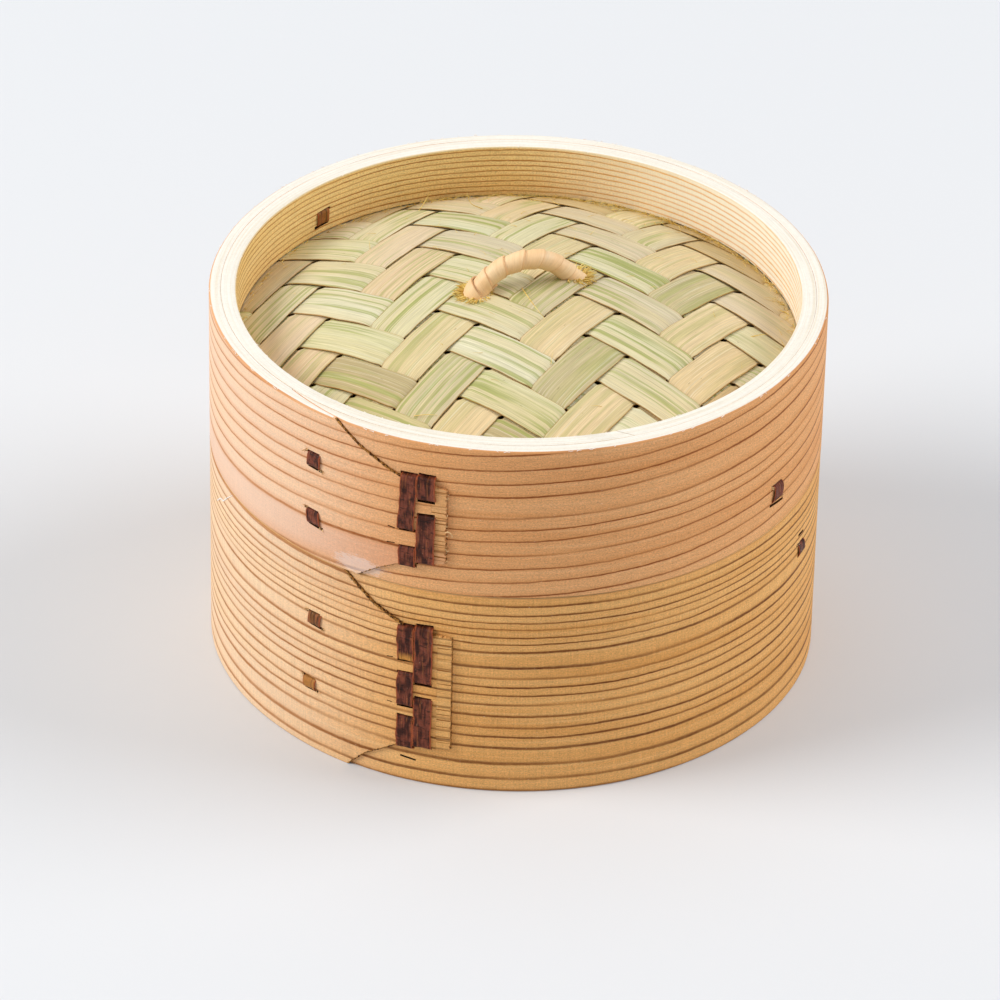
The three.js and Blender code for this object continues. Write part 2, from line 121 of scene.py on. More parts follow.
def slab(front, back):
    """Vertices and faces of a closed sheet between two grids of points."""
    n, k, _ = front.shape
    f = np.arange(n * k).reshape(n, k)
    b = f + n * k

    def quads(p, q, r, s):
        return np.stack([p, q, r, s], -1).reshape(-1, 4)

    faces = np.concatenate([
        quads(f[:-1, :-1], f[:-1, 1:], f[1:, 1:], f[1:, :-1]),
        quads(b[:-1, :-1], b[1:, :-1], b[1:, 1:], b[:-1, 1:]),
        quads(f[:-1, 0], f[1:, 0], b[1:, 0], b[:-1, 0]),
        quads(f[:-1, -1], b[:-1, -1], b[1:, -1], f[1:, -1]),
        quads(f[0, :-1], b[0, :-1], b[0, 1:], f[0, 1:]),
        quads(f[-1, :-1], f[-1, 1:], b[-1, 1:], b[-1, :-1]),
    ])
    verts = np.concatenate([front.reshape(-1, 3), back.reshape(-1, 3)])
    a, c, d, e = (verts[faces[:, i]] for i in range(4))
    volume = (np.cross(a, c) * d).sum() + (np.cross(a, d) * e).sum()
    return verts, faces if volume > 0 else faces[:, ::-1]


def joined(parts):
    """Several parts, each verts and faces first, as one."""
    starts = np.cumsum([0] + [len(part[0]) for part in parts])
    faces = [part[1] + start for part, start in zip(parts, starts)]
    return np.concatenate([part[0] for part in parts]), np.concatenate(faces)


def joined_fields(parts):
    """The fields of several parts, third in each, as one."""
    return {key: np.concatenate([part[2][key] for part in parts]) for key in parts[0][2]}


def strip_fields(along, across, offset, edge):
    """Grain and edge fields for both sides of a slab; the offset sets one strip's grain apart."""
    along, across, offset, edge = np.broadcast_arrays(along, across, offset, edge)
    grain = np.stack([along, across, offset], -1).reshape(-1, 3)
    return {"grain": np.tile(grain, (2, 1)), "edge": np.tile(edge.ravel(), 2)}


def lengths(path):
    """How far along the path each of its points is."""
    return np.concatenate([[0], np.cumsum(np.linalg.norm(np.diff(path, axis=0), axis=1))])


def tangents(path):
    way = np.gradient(path, axis=0)
    return way / np.linalg.norm(way, axis=1)[:, None]


def add_object(name, data):
    ob = bpy.data.objects.new(name, data)
    scene.collection.objects.link(ob)
    return ob


def piece(name, verts, faces, material, sharp, **fields):
    """A mesh object from points in millimetres, with a value or vector at each point for every field.

    A face whose last corner repeats is a triangle.
    """
    faces = [f[:3] if f[2] == f[3] else f for f in faces.tolist()]
    me = bpy.data.meshes.new(name)
    me.from_pydata((verts * MM).tolist(), [], faces)
    me.validate()
    finish_mesh(me, sharp, fields)
    me.materials.append(material)
    return add_object(name, me)


def finish_mesh(me, sharp, fields):
    me.shade_smooth()
    me.set_sharp_from_angle(angle=sharp)
    for key, values in fields.items():
        values = np.asarray(values, np.float32)
        kind = "FLOAT_VECTOR" if values.ndim == 2 else "FLOAT"
        attribute = me.attributes.get(key) or me.attributes.new(key, kind, "POINT")
        attribute.data.foreach_set("vector" if values.ndim == 2 else "value", values.ravel())


def place(ob, body, slot, *nodes):
    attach(ob, body)
    if nodes:
        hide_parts(*nodes)


# Shader helpers ----------------------------------------------------------------------------------


def linear(c):
    return ((c / 255 + 0.055) / 1.055) ** 2.4 if c > 10 else c / 255 / 12.92


def srgb(r, g, b):
    return linear(r), linear(g), linear(b), 1.0


class Shader:
    """A material with a Principled shader, and short calls for the nodes that feed it."""

    def __init__(self, name):
        self.material = bpy.data.materials.new(name)
        self.material.use_nodes = True
        self.tree = self.material.node_tree
        self.out = self.tree.nodes["Principled BSDF"]

    def put(self, socket, value):
        if isinstance(value, bpy.types.NodeSocket):
            self.tree.links.new(value, socket)
        else:
            socket.default_value = value

    def node(self, kind, *inputs, output=0, **props):
        made = self.tree.nodes.new(kind)
        for key, value in props.items():
            setattr(made, key, value)
        for socket, value in zip(made.inputs, inputs):
            if value is not None:
                self.put(socket, value)
        return made.outputs[output]

    def math(self, operation, a, b=None, c=None, clamp=False):
        return self.node("ShaderNodeMath", a, b, c, operation=operation, use_clamp=clamp)

    def mul(self, a, b, clamp=False):
        return self.math("MULTIPLY", a, b, clamp=clamp)

    def add(self, a, b):
        return self.math("ADD", a, b)

    def vector(self, operation, a, b):
        return self.node("ShaderNodeVectorMath", a, b, operation=operation)

    def field(self, name, output="Fac"):
        made = self.tree.nodes.new("ShaderNodeAttribute")
        made.attribute_name = name
        return made.outputs[output]

    @cached_property
    def grain(self):
        """Along the strip, across it and into it, in millimetres."""
        return self.field("grain", "Vector")

    def split(self, v):
        made = self.tree.nodes.new("ShaderNodeSeparateXYZ")
        self.tree.links.new(v, made.inputs[0])
        return made.outputs

    def noise(self, stretch, detail=2.0, rough=0.5, at=None):
        made = self.tree.nodes.new("ShaderNodeTexNoise")
        self.put(made.inputs["Vector"], self.vector("MULTIPLY", self.grain if at is None else at, stretch))
        made.inputs["Scale"].default_value = 1.0
        made.inputs["Detail"].default_value = detail
        made.inputs["Roughness"].default_value = rough
        return made.outputs["Fac"]

    def between(self, value, low, high):
        """0 below low, 1 above high, smooth between; low may be the larger."""
        made = self.tree.nodes.new("ShaderNodeMapRange")
        made.interpolation_type = "SMOOTHSTEP"
        self.put(made.inputs["Value"], value)
        flip = low > high
        made.inputs["From Min"].default_value = min(low, high)
        made.inputs["From Max"].default_value = max(low, high)
        made.inputs["To Min"].default_value = 1.0 if flip else 0.0
        made.inputs["To Max"].default_value = 0.0 if flip else 1.0
        return made.outputs["Result"]

    def curve(self, value, points):
        made = self.tree.nodes.new("ShaderNodeFloatCurve")
        self.put(made.inputs["Value"], value)
        line = made.mapping.curves[0]
        while len(line.points) < len(points):
            line.points.new(0.5, 0.5)
        for point, (x, y) in zip(line.points, points):
            point.location = (x, y)
            point.handle_type = "VECTOR"
        made.mapping.update()
        return made.outputs["Value"]

    def mix(self, amount, a, b):
        made = self.tree.nodes.new("ShaderNodeMix")
        made.data_type = "RGBA"
        self.put(made.inputs["Factor"], amount)
        self.put(made.inputs[6], a)
        self.put(made.inputs[7], b)
        return made.outputs[2]

    def stain(self, colour, tone, mask, amount=1.0):
        """The colour turned towards the tone where the mask is 1, by the amount."""
        return self.mix(mask if amount == 1.0 else self.mul(mask, amount), colour, tone)

    def scaled(self, colour, value):
        made = self.tree.nodes.new("ShaderNodeVectorMath")
        made.operation = "SCALE"
        self.put(made.inputs[0], colour)
        self.put(made.inputs["Scale"], value)
        return made.outputs[0]

    def spread(self, value, low, high):
        """Maps 0..1 to low..high."""
        return self.math("MULTIPLY_ADD", value, high - low, low)

    def vary(self, colour, value, low, high):
        """The colour times low to high as the value goes from 0 to 1."""
        return self.scaled(colour, self.spread(value, low, high))

    def bump(self, height, distance, strength):
        made = self.tree.nodes.new("ShaderNodeBump")
        made.inputs["Strength"].default_value = strength
        made.inputs["Distance"].default_value = distance
        self.put(made.inputs["Height"], height)
        return made.outputs["Normal"]

    def done(self, colour, rough, normal, specular):
        self.put(self.out.inputs["Base Color"], colour)
        self.put(self.out.inputs["Roughness"], rough)
        self.put(self.out.inputs["Normal"], normal)
        self.out.inputs["Specular IOR Level"].default_value = specular
        return self.material


# Materials ---------------------------------------------------------------------------------------


def cedar(name, tones, line_tone, lines, slope, line_width, specks, saw_marks, rim_tone, band_tone, rosy=0.0):
    """Bent cedar: growth lines at given heights, running round the hoop and rising with the slope.

    Tones are the wood's, then the line's dark and light one, the end grain's (near white on the rim, partly a
    painted highlight) and the worn edge's.
    Specks, saw marks and rosy are how strong the dark specks, the saw's hatching and the pink band are.
    """
    n = Shader(name)
    # The lines: a curve through their heights turns the height into a count of lines.
    along, up, _ = n.split(n.grain)
    slow = n.noise((0.011, 0.03, 0), detail=1)
    quick = n.noise((0.05, 0.16, 0), detail=2)
    tiny = n.noise((0.35, 0.6, 0), detail=1)
    ring = n.math("MULTIPLY_ADD", along, -slope, up)
    ring = n.add(ring, n.spread(slow, -0.9, 0.9))
    ring = n.add(ring, n.spread(quick, -0.45, 0.45))
    ring = n.add(ring, n.spread(tiny, -0.14, 0.14))
    low, high = lines[0], lines[-1]
    share = n.math("DIVIDE", n.math("SUBTRACT", ring, low), high - low, clamp=True)
    count = len(lines) - 1
    phase = n.curve(share, [((h - low) / (high - low), i / count) for i, h in enumerate(lines)])
    phase = n.mul(phase, float(count))
    number = n.math("FLOOR", n.add(phase, 0.5))
    away = n.math("SUBTRACT", phase, number)
    width = line_width * count / (high - low)  # as a share of the mean gap between lines
    up_side = n.between(away, width * 0.95, width * 0.2)
    down_side = n.between(away, -width * 0.65, -width * 0.2)
    line = n.mul(up_side, down_side)
    halo = n.mul(n.between(away, 0.42, 0.0), n.between(away, -0.16, 0.0))
    each_line = n.node("ShaderNodeCombineXYZ", along, n.mul(number, 37.0))
    fade = n.noise((0.012, 1, 0), detail=3, rough=0.6, at=each_line)
    line = n.mul(line, n.between(fade, 0.2, 0.62))
    line = n.mul(line, n.spread(n.noise((0.5, 3.0, 0), detail=2), 0.55, 1.25), clamp=True)

    # The wood: broad patches, streaks, fibres and flecks, with a painted highlight where the pale field says.
    broad = n.noise((0.006, 0.07, 0), detail=3, rough=0.55)
    streak = n.noise((0.012, 0.9, 0), detail=3, rough=0.6)
    fibre = n.noise((0.2, 2.6, 0), detail=3, rough=0.75)
    fleck = n.noise((1.6, 2.6, 0.9), detail=4, rough=0.85)
    colour = n.mix(n.between(broad, 0.3, 0.7), tones[0], tones[1])
    colour = n.stain(colour, tones[2], n.between(streak, 0.45, 0.75), 0.45)
    colour = n.vary(colour, fibre, 0.72, 1.3)
    colour = n.vary(colour, fleck, 0.12, 1.94)
    blush = n.between(ring, lines[1] + 0.2, lines[1] + 2.2)
    blush = n.mul(blush, n.between(ring, lines[2] - 0.1, lines[2] - 1.2))
    colour = n.stain(colour, srgb(214, 144, 116), n.mul(blush, rosy))
    # Painted highlight: the pale field makes the side that faces the key light lighter, and its growth lines
    # paler.
    light = n.mul(n.field("pale"), n.spread(broad, 0.25, 0.7), clamp=True)
    colour = n.stain(colour, srgb(255, 250, 236), light)
    line_colour = n.mix(n.mul(light, 1.7, clamp=True), line_tone[0], line_tone[1])
    colour = n.stain(colour, line_tone[1], halo, 0.34)
    colour = n.stain(colour, line_colour, line, 0.94)
    speck = n.noise((1.6, 2.9, 0), detail=1, rough=0.5)
    colour = n.stain(colour, line_tone[0], n.mul(n.between(speck, 0.74, 0.8), specks))
    pale = n.noise((0.9, 3.3, 0), detail=1)
    colour = n.stain(colour, srgb(250, 232, 205), n.between(pale, 0.7, 0.78), 0.35)
    hatch = n.noise((2.2, 0.1, 0), detail=3, rough=0.6)
    colour = n.vary(colour, hatch, 1 - 4 * saw_marks, 1 + 4 * saw_marks)

    # Where it is scraped, bleached or torn, with painted shade along the lap's cuts and a painted shadow
    # beside its tip.
    wear = n.field("wear")
    worn = n.noise((0.9, 2.2, 0), detail=3, rough=0.65)
    scraped = n.between(n.add(wear, n.spread(worn, -0.35, 0.35)), 0.4, 0.62)
    ribs = n.noise((0.03, 1.7, 0), detail=2, rough=0.6)
    colour = n.stain(colour, srgb(240, 206, 140), scraped, 0.14)
    colour = n.stain(colour, srgb(158, 100, 48), n.mul(scraped, n.between(ribs, 0.52, 0.62)))
    bleach = n.field("bleach")
    grit = n.spread(n.noise((0.4, 2.2, 0), detail=5, rough=0.85), -1.1, 1.1)
    blotch = n.between(n.add(bleach, grit), 0.6, 0.9)
    colour = n.stain(colour, srgb(242, 234, 230), blotch, 0.36)
    # Torn wood along the lap's cuts, painted dark partly as their shade; beside the tip it is a painted
    # shadow.
    char = n.field("char")
    chips = n.noise((1.4, 1.4, 1.4), detail=3, rough=0.7)
    torn = n.mix(n.between(chips, 0.44, 0.56), srgb(66, 38, 18), srgb(184, 130, 66))
    colour = n.stain(colour, torn, n.between(char, 0.35, 0.75))

    # Faces that look up or down are end grain, painted partly as a highlight on the rim, rounded edges are
    # worn, and slots get painted shade inside.
    normal_z = n.math("ABSOLUTE", n.split(n.node("ShaderNodeNewGeometry", output=1))[2])
    rings = n.noise((0.014, 0.12, 1.6), detail=4, rough=0.65)
    end_face = n.mix(n.mul(n.between(rings, 0.4, 0.7), 0.5), rim_tone[0], rim_tone[1])
    end_fibre = n.noise((0.22, 0.5, 4.5), detail=4, rough=0.75)
    end_face = n.vary(end_face, end_fibre, 0.84, 1.14)
    end_face = n.vary(end_face, fleck, 0.84, 1.16)
    band = n.mul(n.between(normal_z, 0.12, 0.3), n.between(normal_z, 0.93, 0.8))
    clean = n.between(char, 0.3, 0.05)
    slot = n.field("slot")
    clean = n.mul(clean, n.between(slot, 0.4, 0.1))
    colour = n.stain(colour, band_tone, n.mul(band, n.mul(clean, 0.75)))
    # End grain: on the lid's rim and the inner hoops' tops its near-white tone is partly a painted highlight.
    colour = n.stain(colour, end_face, n.mul(n.between(normal_z, 0.82, 0.93), clean))
    # Painted shade inside the slots: dark brown with ochre chips.
    painted_slot_shade = n.mul(n.between(normal_z, 0.4, 0.6), n.between(slot, 0.3, 0.6))
    colour = n.stain(colour, n.mix(n.between(chips, 0.5, 0.7), srgb(52, 30, 16), srgb(146, 94, 46)), painted_slot_shade)

    rough = n.spread(n.noise((0.25, 1.4, 1.4), detail=2), 0.5, 0.74)
    rough = n.math("MULTIPLY_ADD", line, -0.1, rough)
    relief = n.add(n.mul(fibre, 0.5), n.mul(line, 0.35))
    relief = n.add(relief, n.mul(fleck, 0.8))
    relief = n.add(relief, n.mul(hatch, saw_marks * 3))
    relief = n.add(relief, n.mul(n.mul(ribs, scraped), -2.6))
    normal = n.bump(relief, 0.00012, 0.7)
    return n.done(colour, rough, normal, 0.1)


LID_LINES = [-27, -22.6, -10.8, -5.5, -0.4, 4.2, 8.6, 13.4, 18.2, 21.9, 26, 33.2, 37.3, 42, 47, 52]
BASKET_LINES = [0.2, 4.3, 9.5, 15.2, 19, 22.2, 26.3, 30.2, 33.5, 36.3, 39.3, 43, 48.5, 51.2, 53.5, 56.2,
                58.3, 60.8, 64, 67.5]
INNER_LINES = [h * 1.75 for h in range(-4, 70)]
# The rim's end grain, painted near white partly as a highlight.
RIM_END_GRAIN_AND_HIGHLIGHT = srgb(244, 239, 228), srgb(226, 207, 174)

cedar_lid = cedar(
    "cedar_lid", (srgb(232, 174, 119), srgb(220, 155, 98), srgb(241, 191, 139)),
    (srgb(122, 50, 4), srgb(208, 128, 56)), LID_LINES, 0.045, 0.55, 0.3, 0.02,
    RIM_END_GRAIN_AND_HIGHLIGHT, srgb(226, 160, 104), rosy=0.4)
cedar_basket = cedar(
    "cedar_basket", (srgb(235, 180, 112), srgb(220, 158, 88), srgb(243, 197, 133)),
    (srgb(86, 32, 2), srgb(200, 122, 48)), BASKET_LINES, -0.003, 0.68, 0.36, 0.05,
    (srgb(228, 196, 144), srgb(214, 174, 116)), srgb(200, 142, 86))


def inner_cedar(name, rim_tone, band_tone):
    return cedar(name, (srgb(248, 216, 150), srgb(238, 200, 128), srgb(252, 228, 172)),
                 (srgb(166, 90, 12), srgb(234, 172, 80)), INNER_LINES, 0.006, 0.38, 0.2, 0.02,
                 rim_tone, band_tone)


cedar_inner = inner_cedar("cedar_inner", RIM_END_GRAIN_AND_HIGHLIGHT, srgb(236, 216, 178))
cedar_inner_low = inner_cedar("cedar_inner_low", (srgb(232, 206, 158), srgb(222, 186, 130)),
                              srgb(214, 166, 108))


def bamboo(name, green_tone, dull_tone, gloss):
    """Split bamboo strip: its own tint, streaks and fibres along the strip, and pale streaks painted as
    highlights.
    """
    n = Shader(name)
    tint = n.field("tint", "Vector")
    green = n.field("green")
    edge = n.field("edge")
    broad = n.noise((0.006, 0.16, 0.5), detail=2)
    stripe = n.noise((0.008, 0.62, 0.5), detail=3, rough=0.6)
    fine = n.noise((0.02, 2.6, 0.5), detail=3, rough=0.6)
    hair = n.noise((0.1, 4.2, 0.5), detail=2, rough=0.7)
    fade = n.noise((0.03, 0.1, 0.5), detail=2)
    colour = n.mix(n.mul(n.between(broad, 0.42, 0.66), 0.5), tint, dull_tone)
    pick = n.mul(n.between(stripe, 0.5, 0.58), n.between(fade, 0.3, 0.55))
    colour = n.stain(colour, green_tone, n.mul(pick, green))
    colour = n.stain(colour, n.scaled(tint, 0.6), n.between(fine, 0.54, 0.68), 0.36)
    # Painted highlight: pale, near-white streaks along the fibres.
    colour = n.stain(colour, srgb(238, 232, 208), n.between(fine, 0.46, 0.32), 0.36)
    colour = n.vary(colour, hair, 0.62, 1.36)
    spot = n.noise((0.35, 1.6, 0.5), detail=1)
    colour = n.stain(colour, srgb(120, 96, 58), n.between(spot, 0.76, 0.82), 0.5)
    ragged = n.add(edge, n.spread(n.noise((0.25, 1.5, 0.5), detail=2), -0.25, 0.25))
    colour = n.stain(colour, srgb(176, 132, 66), n.between(ragged, 0.6, 1.0), 0.8)
    rough = n.spread(n.noise((0.1, 1.2, 0.5), detail=2), gloss, gloss + 0.2)
    relief = n.add(n.mul(hair, 0.45), n.mul(fine, 0.55))
    return n.done(colour, rough, n.bump(relief, 0.00014, 0.8), 0.4)


bamboo_mat = bamboo("bamboo_mat", srgb(160, 166, 84), srgb(220, 200, 150), 0.4)
bamboo_floor = bamboo("bamboo_floor", srgb(188, 160, 92), srgb(214, 186, 124), 0.42)


def rattan_material():
    """Peel of rattan, smooth and pale, with darker edges."""
    n = Shader("rattan")
    streak = n.noise((0.1, 1.3, 0), detail=3, rough=0.6)
    hair = n.noise((0.3, 3.6, 0), detail=2)
    broad = n.noise((0.08, 0.2, 0), detail=2)
    colour = n.mix(n.between(broad, 0.35, 0.7), srgb(253, 219, 172), srgb(250, 206, 152))
    colour = n.stain(colour, srgb(238, 190, 134), n.between(streak, 0.5, 0.72), 0.4)
    colour = n.vary(colour, hair, 0.86, 1.12)
    edge = n.field("edge")
    colour = n.stain(colour, srgb(206, 148, 92), n.between(edge, 0.5, 1.0), 0.45)
    relief = n.add(hair, n.mul(streak, 0.6))
    return n.done(colour, n.spread(streak, 0.38, 0.6), n.bump(relief, 0.00012, 0.7), 0.4)


def bark_material():
    """Cherry bark: dark purple-brown, streaked along the strip, with red-orange cut edges."""
    n = Shader("bark")
    edge = n.field("edge")
    fresh = n.field("fresh")
    streak = n.noise((0.12, 1.7, 0.5), detail=3, rough=0.65)
    fine = n.noise((0.5, 3.6, 0.5), detail=3, rough=0.75)
    patch = n.noise((0.22, 0.5, 0.5), detail=2)
    crease = n.noise((1.1, 0.35, 0.5), detail=3, rough=0.65)
    colour = n.mix(n.between(patch, 0.38, 0.62), srgb(62, 27, 18), srgb(124, 64, 46))
    colour = n.stain(colour, srgb(156, 92, 50), n.between(streak, 0.54, 0.68), 0.6)
    colour = n.stain(colour, srgb(40, 17, 10), n.between(streak, 0.47, 0.34), 0.7)
    colour = n.stain(colour, srgb(24, 9, 5), n.between(crease, 0.46, 0.34), 0.7)
    colour = n.vary(colour, fine, 0.35, 1.75)
    scuff = n.noise((0.5, 2.6, 0.5), detail=3, rough=0.75)
    colour = n.stain(colour, srgb(188, 150, 122), n.between(scuff, 0.66, 0.74), 0.55)
    colour = n.stain(colour, srgb(206, 142, 66), n.mul(fresh, n.between(streak, 0.28, 0.5)))
    rim = n.add(edge, n.spread(n.noise((0.6, 0.6, 0.5), detail=2), -0.3, 0.3))
    colour = n.stain(colour, srgb(170, 84, 46), n.between(rim, 0.62, 0.9), 0.85)
    rough = n.spread(fine, 0.28, 0.52)
    relief = n.add(n.mul(streak, 0.8), n.mul(fine, 0.5))
    relief = n.add(relief, n.mul(crease, 1.2))
    return n.done(colour, rough, n.bump(relief, 0.0003, 0.9), 0.15)


def straw_material(name, light, dark):
    """Loose fibres, each between the light and the dark tone."""
    n = Shader(name)
    tone = n.noise((0.2, 1.0, 3.7), detail=2)
    colour = n.mix(n.between(tone, 0.35, 0.65), light, dark)
    return n.done(colour, n.spread(tone, 0.4, 0.6), n.bump(tone, 0.0001, 0.5), 0.4)


rattan = rattan_material()
chalk = straw_material("chalk", srgb(252, 247, 240), srgb(240, 230, 218))
splinter = straw_material("splinter", srgb(236, 200, 144), srgb(190, 136, 78))
bark = bark_material()
straw = straw_material("straw", srgb(244, 220, 134), srgb(214, 170, 70))

# Hoops -------------------------------------------------------------------------------------------

ROUNDING = np.array([(0.0, 1.0), (0.1, 0.6), (0.32, 0.26), (0.62, 0.07), (1.0, 0.0)])


def side_rows(low, high, rows, soft_low, soft_high):
    """Heights of a strip's rows and how far each is rounded inwards, for arrays of edge heights."""
    up, inward = ROUNDING[:, 0], ROUNDING[:, 1]
    low, high = np.asarray(low)[:, None], np.asarray(high)[:, None]
    start, stop = low + soft_low, high - soft_high
    middle = np.linspace(0, 1, rows)[1:-1][None, :]
    z = np.concatenate([low + up * soft_low, start + (stop - start) * middle,
                        high - up[::-1] * soft_high], 1)
    off = np.concatenate([inward * soft_low, np.zeros(rows - 2), inward[::-1] * soft_high])
    return z, off


def bent_strip(theta, inner, outer, low, high, rows, soft_outer, soft_inner,
               turn=0.0, low_inner=None, slope=0.0):
    """A strip of wood bent round the middle, as a slab.

    Soft is the rounding of its low and high edge; the slope turns the outer face against the inner one.
    """
    inner, outer, low, high = np.broadcast_arrays(inner, outer, low, high + 0 * theta)
    low_inner = low if low_inner is None else low_inner + 0 * theta
    z_out, off_out = side_rows(low, high, rows, *soft_outer)
    z_in, off_in = side_rows(low_inner, high, rows, *soft_inner)
    angle = theta[:, None] + turn
    thin = np.clip((outer - inner) / 2.5, 0.1, 1)[:, None]
    front = polar(outer[:, None] - off_out * thin, angle + slope, z_out)
    back = polar(inner[:, None] + off_in, angle, z_in)
    return slab(front, back)


def split_r(theta):
    """Radius where a lap's two leaves meet."""
    return read([(TAIL, OUTER_IN + 0.3), (KNEE, OUTER_R - 0.25), (-112, OUTER_R)], theta)


def face_r(theta):
    """Radius of the outer leaf's face."""
    return read([(TAIL, OUTER_R), (KNEE, OUTER_R + 0.5), (-110, OUTER_R + 1.1)], theta)


def wall_r(degrees, half):
    """Radius of the lid's or the basket's outside at an angle, on the lap or off it."""
    return float(face_r(degrees)) if TAIL < degrees < half.tip else OUTER_R


def ragged(theta, seed, depth):
    """A broken edge: smooth waves with small torn steps."""
    mm = theta * DEG * OUTER_R
    steps = np.round(ripple(mm, seed, 2.6, 4) * 2.2) / 2.2
    return depth * (0.55 * steps + 0.45 * ripple(mm, seed + 1, 1.1, 2))


LAP_STEP = 0.35  # degrees between the points along the hidden tail, the ring and the outer leaf
RING_STEP = 1.25
LEAF_STEP = 0.18


def outer_hoop(half):
    """One strip round more than a full turn; its outer leaf ends in two slanting cuts and a torn tip."""
    tip, seed = half.tip, half.seed
    lap = np.arange(TAIL, tip, LAP_STEP)
    ring = np.concatenate([[tip, tip + 0.16, tip + 0.34, tip + 0.6],
                           np.arange(tip + RING_STEP, TAIL + 360, RING_STEP)])
    leaf = np.arange(TAIL + 360, tip + 360 - 0.15, LEAF_STEP)
    theta = np.concatenate([lap, ring, leaf, [tip + 360]])
    here = np.where(theta > 180, theta - 360, theta)
    mm = theta * DEG * OUTER_R
    in_leaf = theta >= TAIL + 360
    outer = np.where(theta < tip, split_r(theta), np.where(in_leaf, face_r(here), OUTER_R))
    inner = np.where(in_leaf, split_r(here) + 0.05, OUTER_IN)
    uneven = 0.12 * ripple(mm, seed, 120) * smooth(theta, tip, tip + 25)
    outer = outer + uneven * smooth(theta, TAIL + 360, TAIL + 335)
    cut_top = read(half.upper, here) + ragged(here, seed + 5, 0.3)
    cut_low = read(half.lower, here) + ragged(here, seed + 9, 0.22)
    high = np.where(in_leaf, np.minimum(half.height, cut_top), half.height)
    low = np.where(in_leaf, np.maximum(half.bottom, cut_low), half.bottom)
    high = high + 0.05 * ripple(mm, seed + 20, 60)
    rise = np.linspace(0, 1, half.rows + 2 * len(ROUNDING) - 2) * half.height
    steps = np.round(ripple(rise, seed + 30, 2.9, 4) * 3) / 3
    torn = steps * half.tear + 0.1 * ripple(rise, seed + 31, 1.0, 3)
    near = smooth(theta, tip + 360 - 1.6, tip + 360)[:, None]
    return bent_strip(theta, inner, outer, low + half.base, high + half.base, half.rows, half.soft,
                      (0.05, 0.05), turn=near * torn)


def outer_fields(points, half):
    """Where each point of an outer hoop lies in the wood, where it is scraped, bleached or torn, and where
    shade and a highlight are painted.
    """
    tip, burr = half.tip, half.burr
    r = np.hypot(points[:, 0], points[:, 1])
    theta = np.degrees(np.arctan2(points[:, 1], points[:, 0]))
    z = points[:, 2] - half.base
    in_lap = (theta > TAIL) & (theta < tip + 1.5)
    tail = (theta > TAIL) & (theta < tip) & (r < split_r(theta) + 0.02)
    leaf = in_lap & ~tail & ((theta < tip) | (r > OUTER_R + 0.15))
    u = (theta - tip) % 360
    u = np.where(tail, u - 360, u)
    u = np.where(leaf & (u < 5), u + 360, u)
    top, low = read(half.upper, theta), read(half.lower, theta)
    edge_gap = np.minimum(top - z, z - low)
    inside = (top < half.height + 1) | (low > -1)
    # Torn wood along the leaf's slanting cuts, painted dark partly as their shade.
    char = np.where(leaf & inside, smooth(edge_gap, burr, burr * 0.35), 0.0)
    char = char * smooth(theta, tip - 0.2, tip - 5)
    char = np.where(leaf & inside & (edge_gap < 0.8), np.maximum(char, 0.3), char)
    # Painted shadow on the ring just past the leaf's tip.
    beside = ~leaf & (theta > tip - 0.05) & (edge_gap > -0.2) & inside
    char = np.where(beside, 0.62 * smooth(theta, tip + 0.5, tip + 0.1), char)
    wear = np.where(leaf, smooth(theta, tip - 3.2, tip - 2.0), 0.0)
    # Painted highlight: lighter on the side that faces the key light, at the left.
    pale = 0.8 * smooth(np.cos((theta + 168) * DEG), 0.45, 1.0)
    return {"grain": np.stack([u * DEG * OUTER_R, z, OUTER_R - r], 1), "char": char, "wear": wear,
            "pale": pale, "bleach": half.bleach(theta, z)}


CLEAR_R = OUTER_R + 3  # outside everything on the wall


def box_cutter(r0, at, width, z0, z1, skew=0.0, r1=CLEAR_R):
    """A slot through the wall at one angle, leaning by the skew along its width."""
    corners = [(r, side * width / 2, z + side * skew) for r in (r0, r1) for side in (-1, 1) for z in (z0, z1)]
    r, across, z = np.array(corners).T
    a = at * DEG
    x = r * math.cos(a) - across * math.sin(a)
    y = r * math.sin(a) + across * math.cos(a)
    faces = np.array([(0, 1, 3, 2), (4, 6, 7, 5), (0, 4, 5, 1), (2, 3, 7, 6), (0, 2, 6, 4), (1, 5, 7, 3)])
    return np.stack([x, y, z], 1), faces


def points_of(me):
    co = np.empty(len(me.vertices) * 3, np.float32)
    me.vertices.foreach_get("co", co)
    return co.reshape(-1, 3) / MM


HOOP_SHARP = 0.62  # an edge sharper than this angle, in radians, stays crisp


def carve(ob, groups, refill):
    """Cuts closed cutters out of a hoop, then fills its fields in again from where its points are.

    Cutters that would overlap are in different groups, which are cut one after the other.
    """
    tools = []
    for group in groups:
        verts, faces = joined(group)
        me = bpy.data.meshes.new("cutter")
        me.from_pydata((verts * MM).tolist(), [], faces.tolist())
        tools.append(add_object("cutter", me))
        step = ob.modifiers.new("slots", "BOOLEAN")
        step.operation = "DIFFERENCE"
        step.solver = "EXACT"
        step.object = tools[-1]
    bpy.context.view_layer.update()
    shape = bpy.data.meshes.new_from_object(ob.evaluated_get(bpy.context.evaluated_depsgraph_get()))
    ob.modifiers.clear()
    before = {tuple(p) for p in np.round(points_of(ob.data), 2)}
    old = ob.data
    ob.data = shape
    bpy.data.meshes.remove(old)
    for tool in tools:
        bpy.data.objects.remove(tool)
    shape.name = ob.name
    points = points_of(shape)
    fields = refill(points)
    fields["slot"] = np.array([tuple(p) not in before for p in np.round(points, 2)], float)
    finish_mesh(shape, HOOP_SHARP, fields)


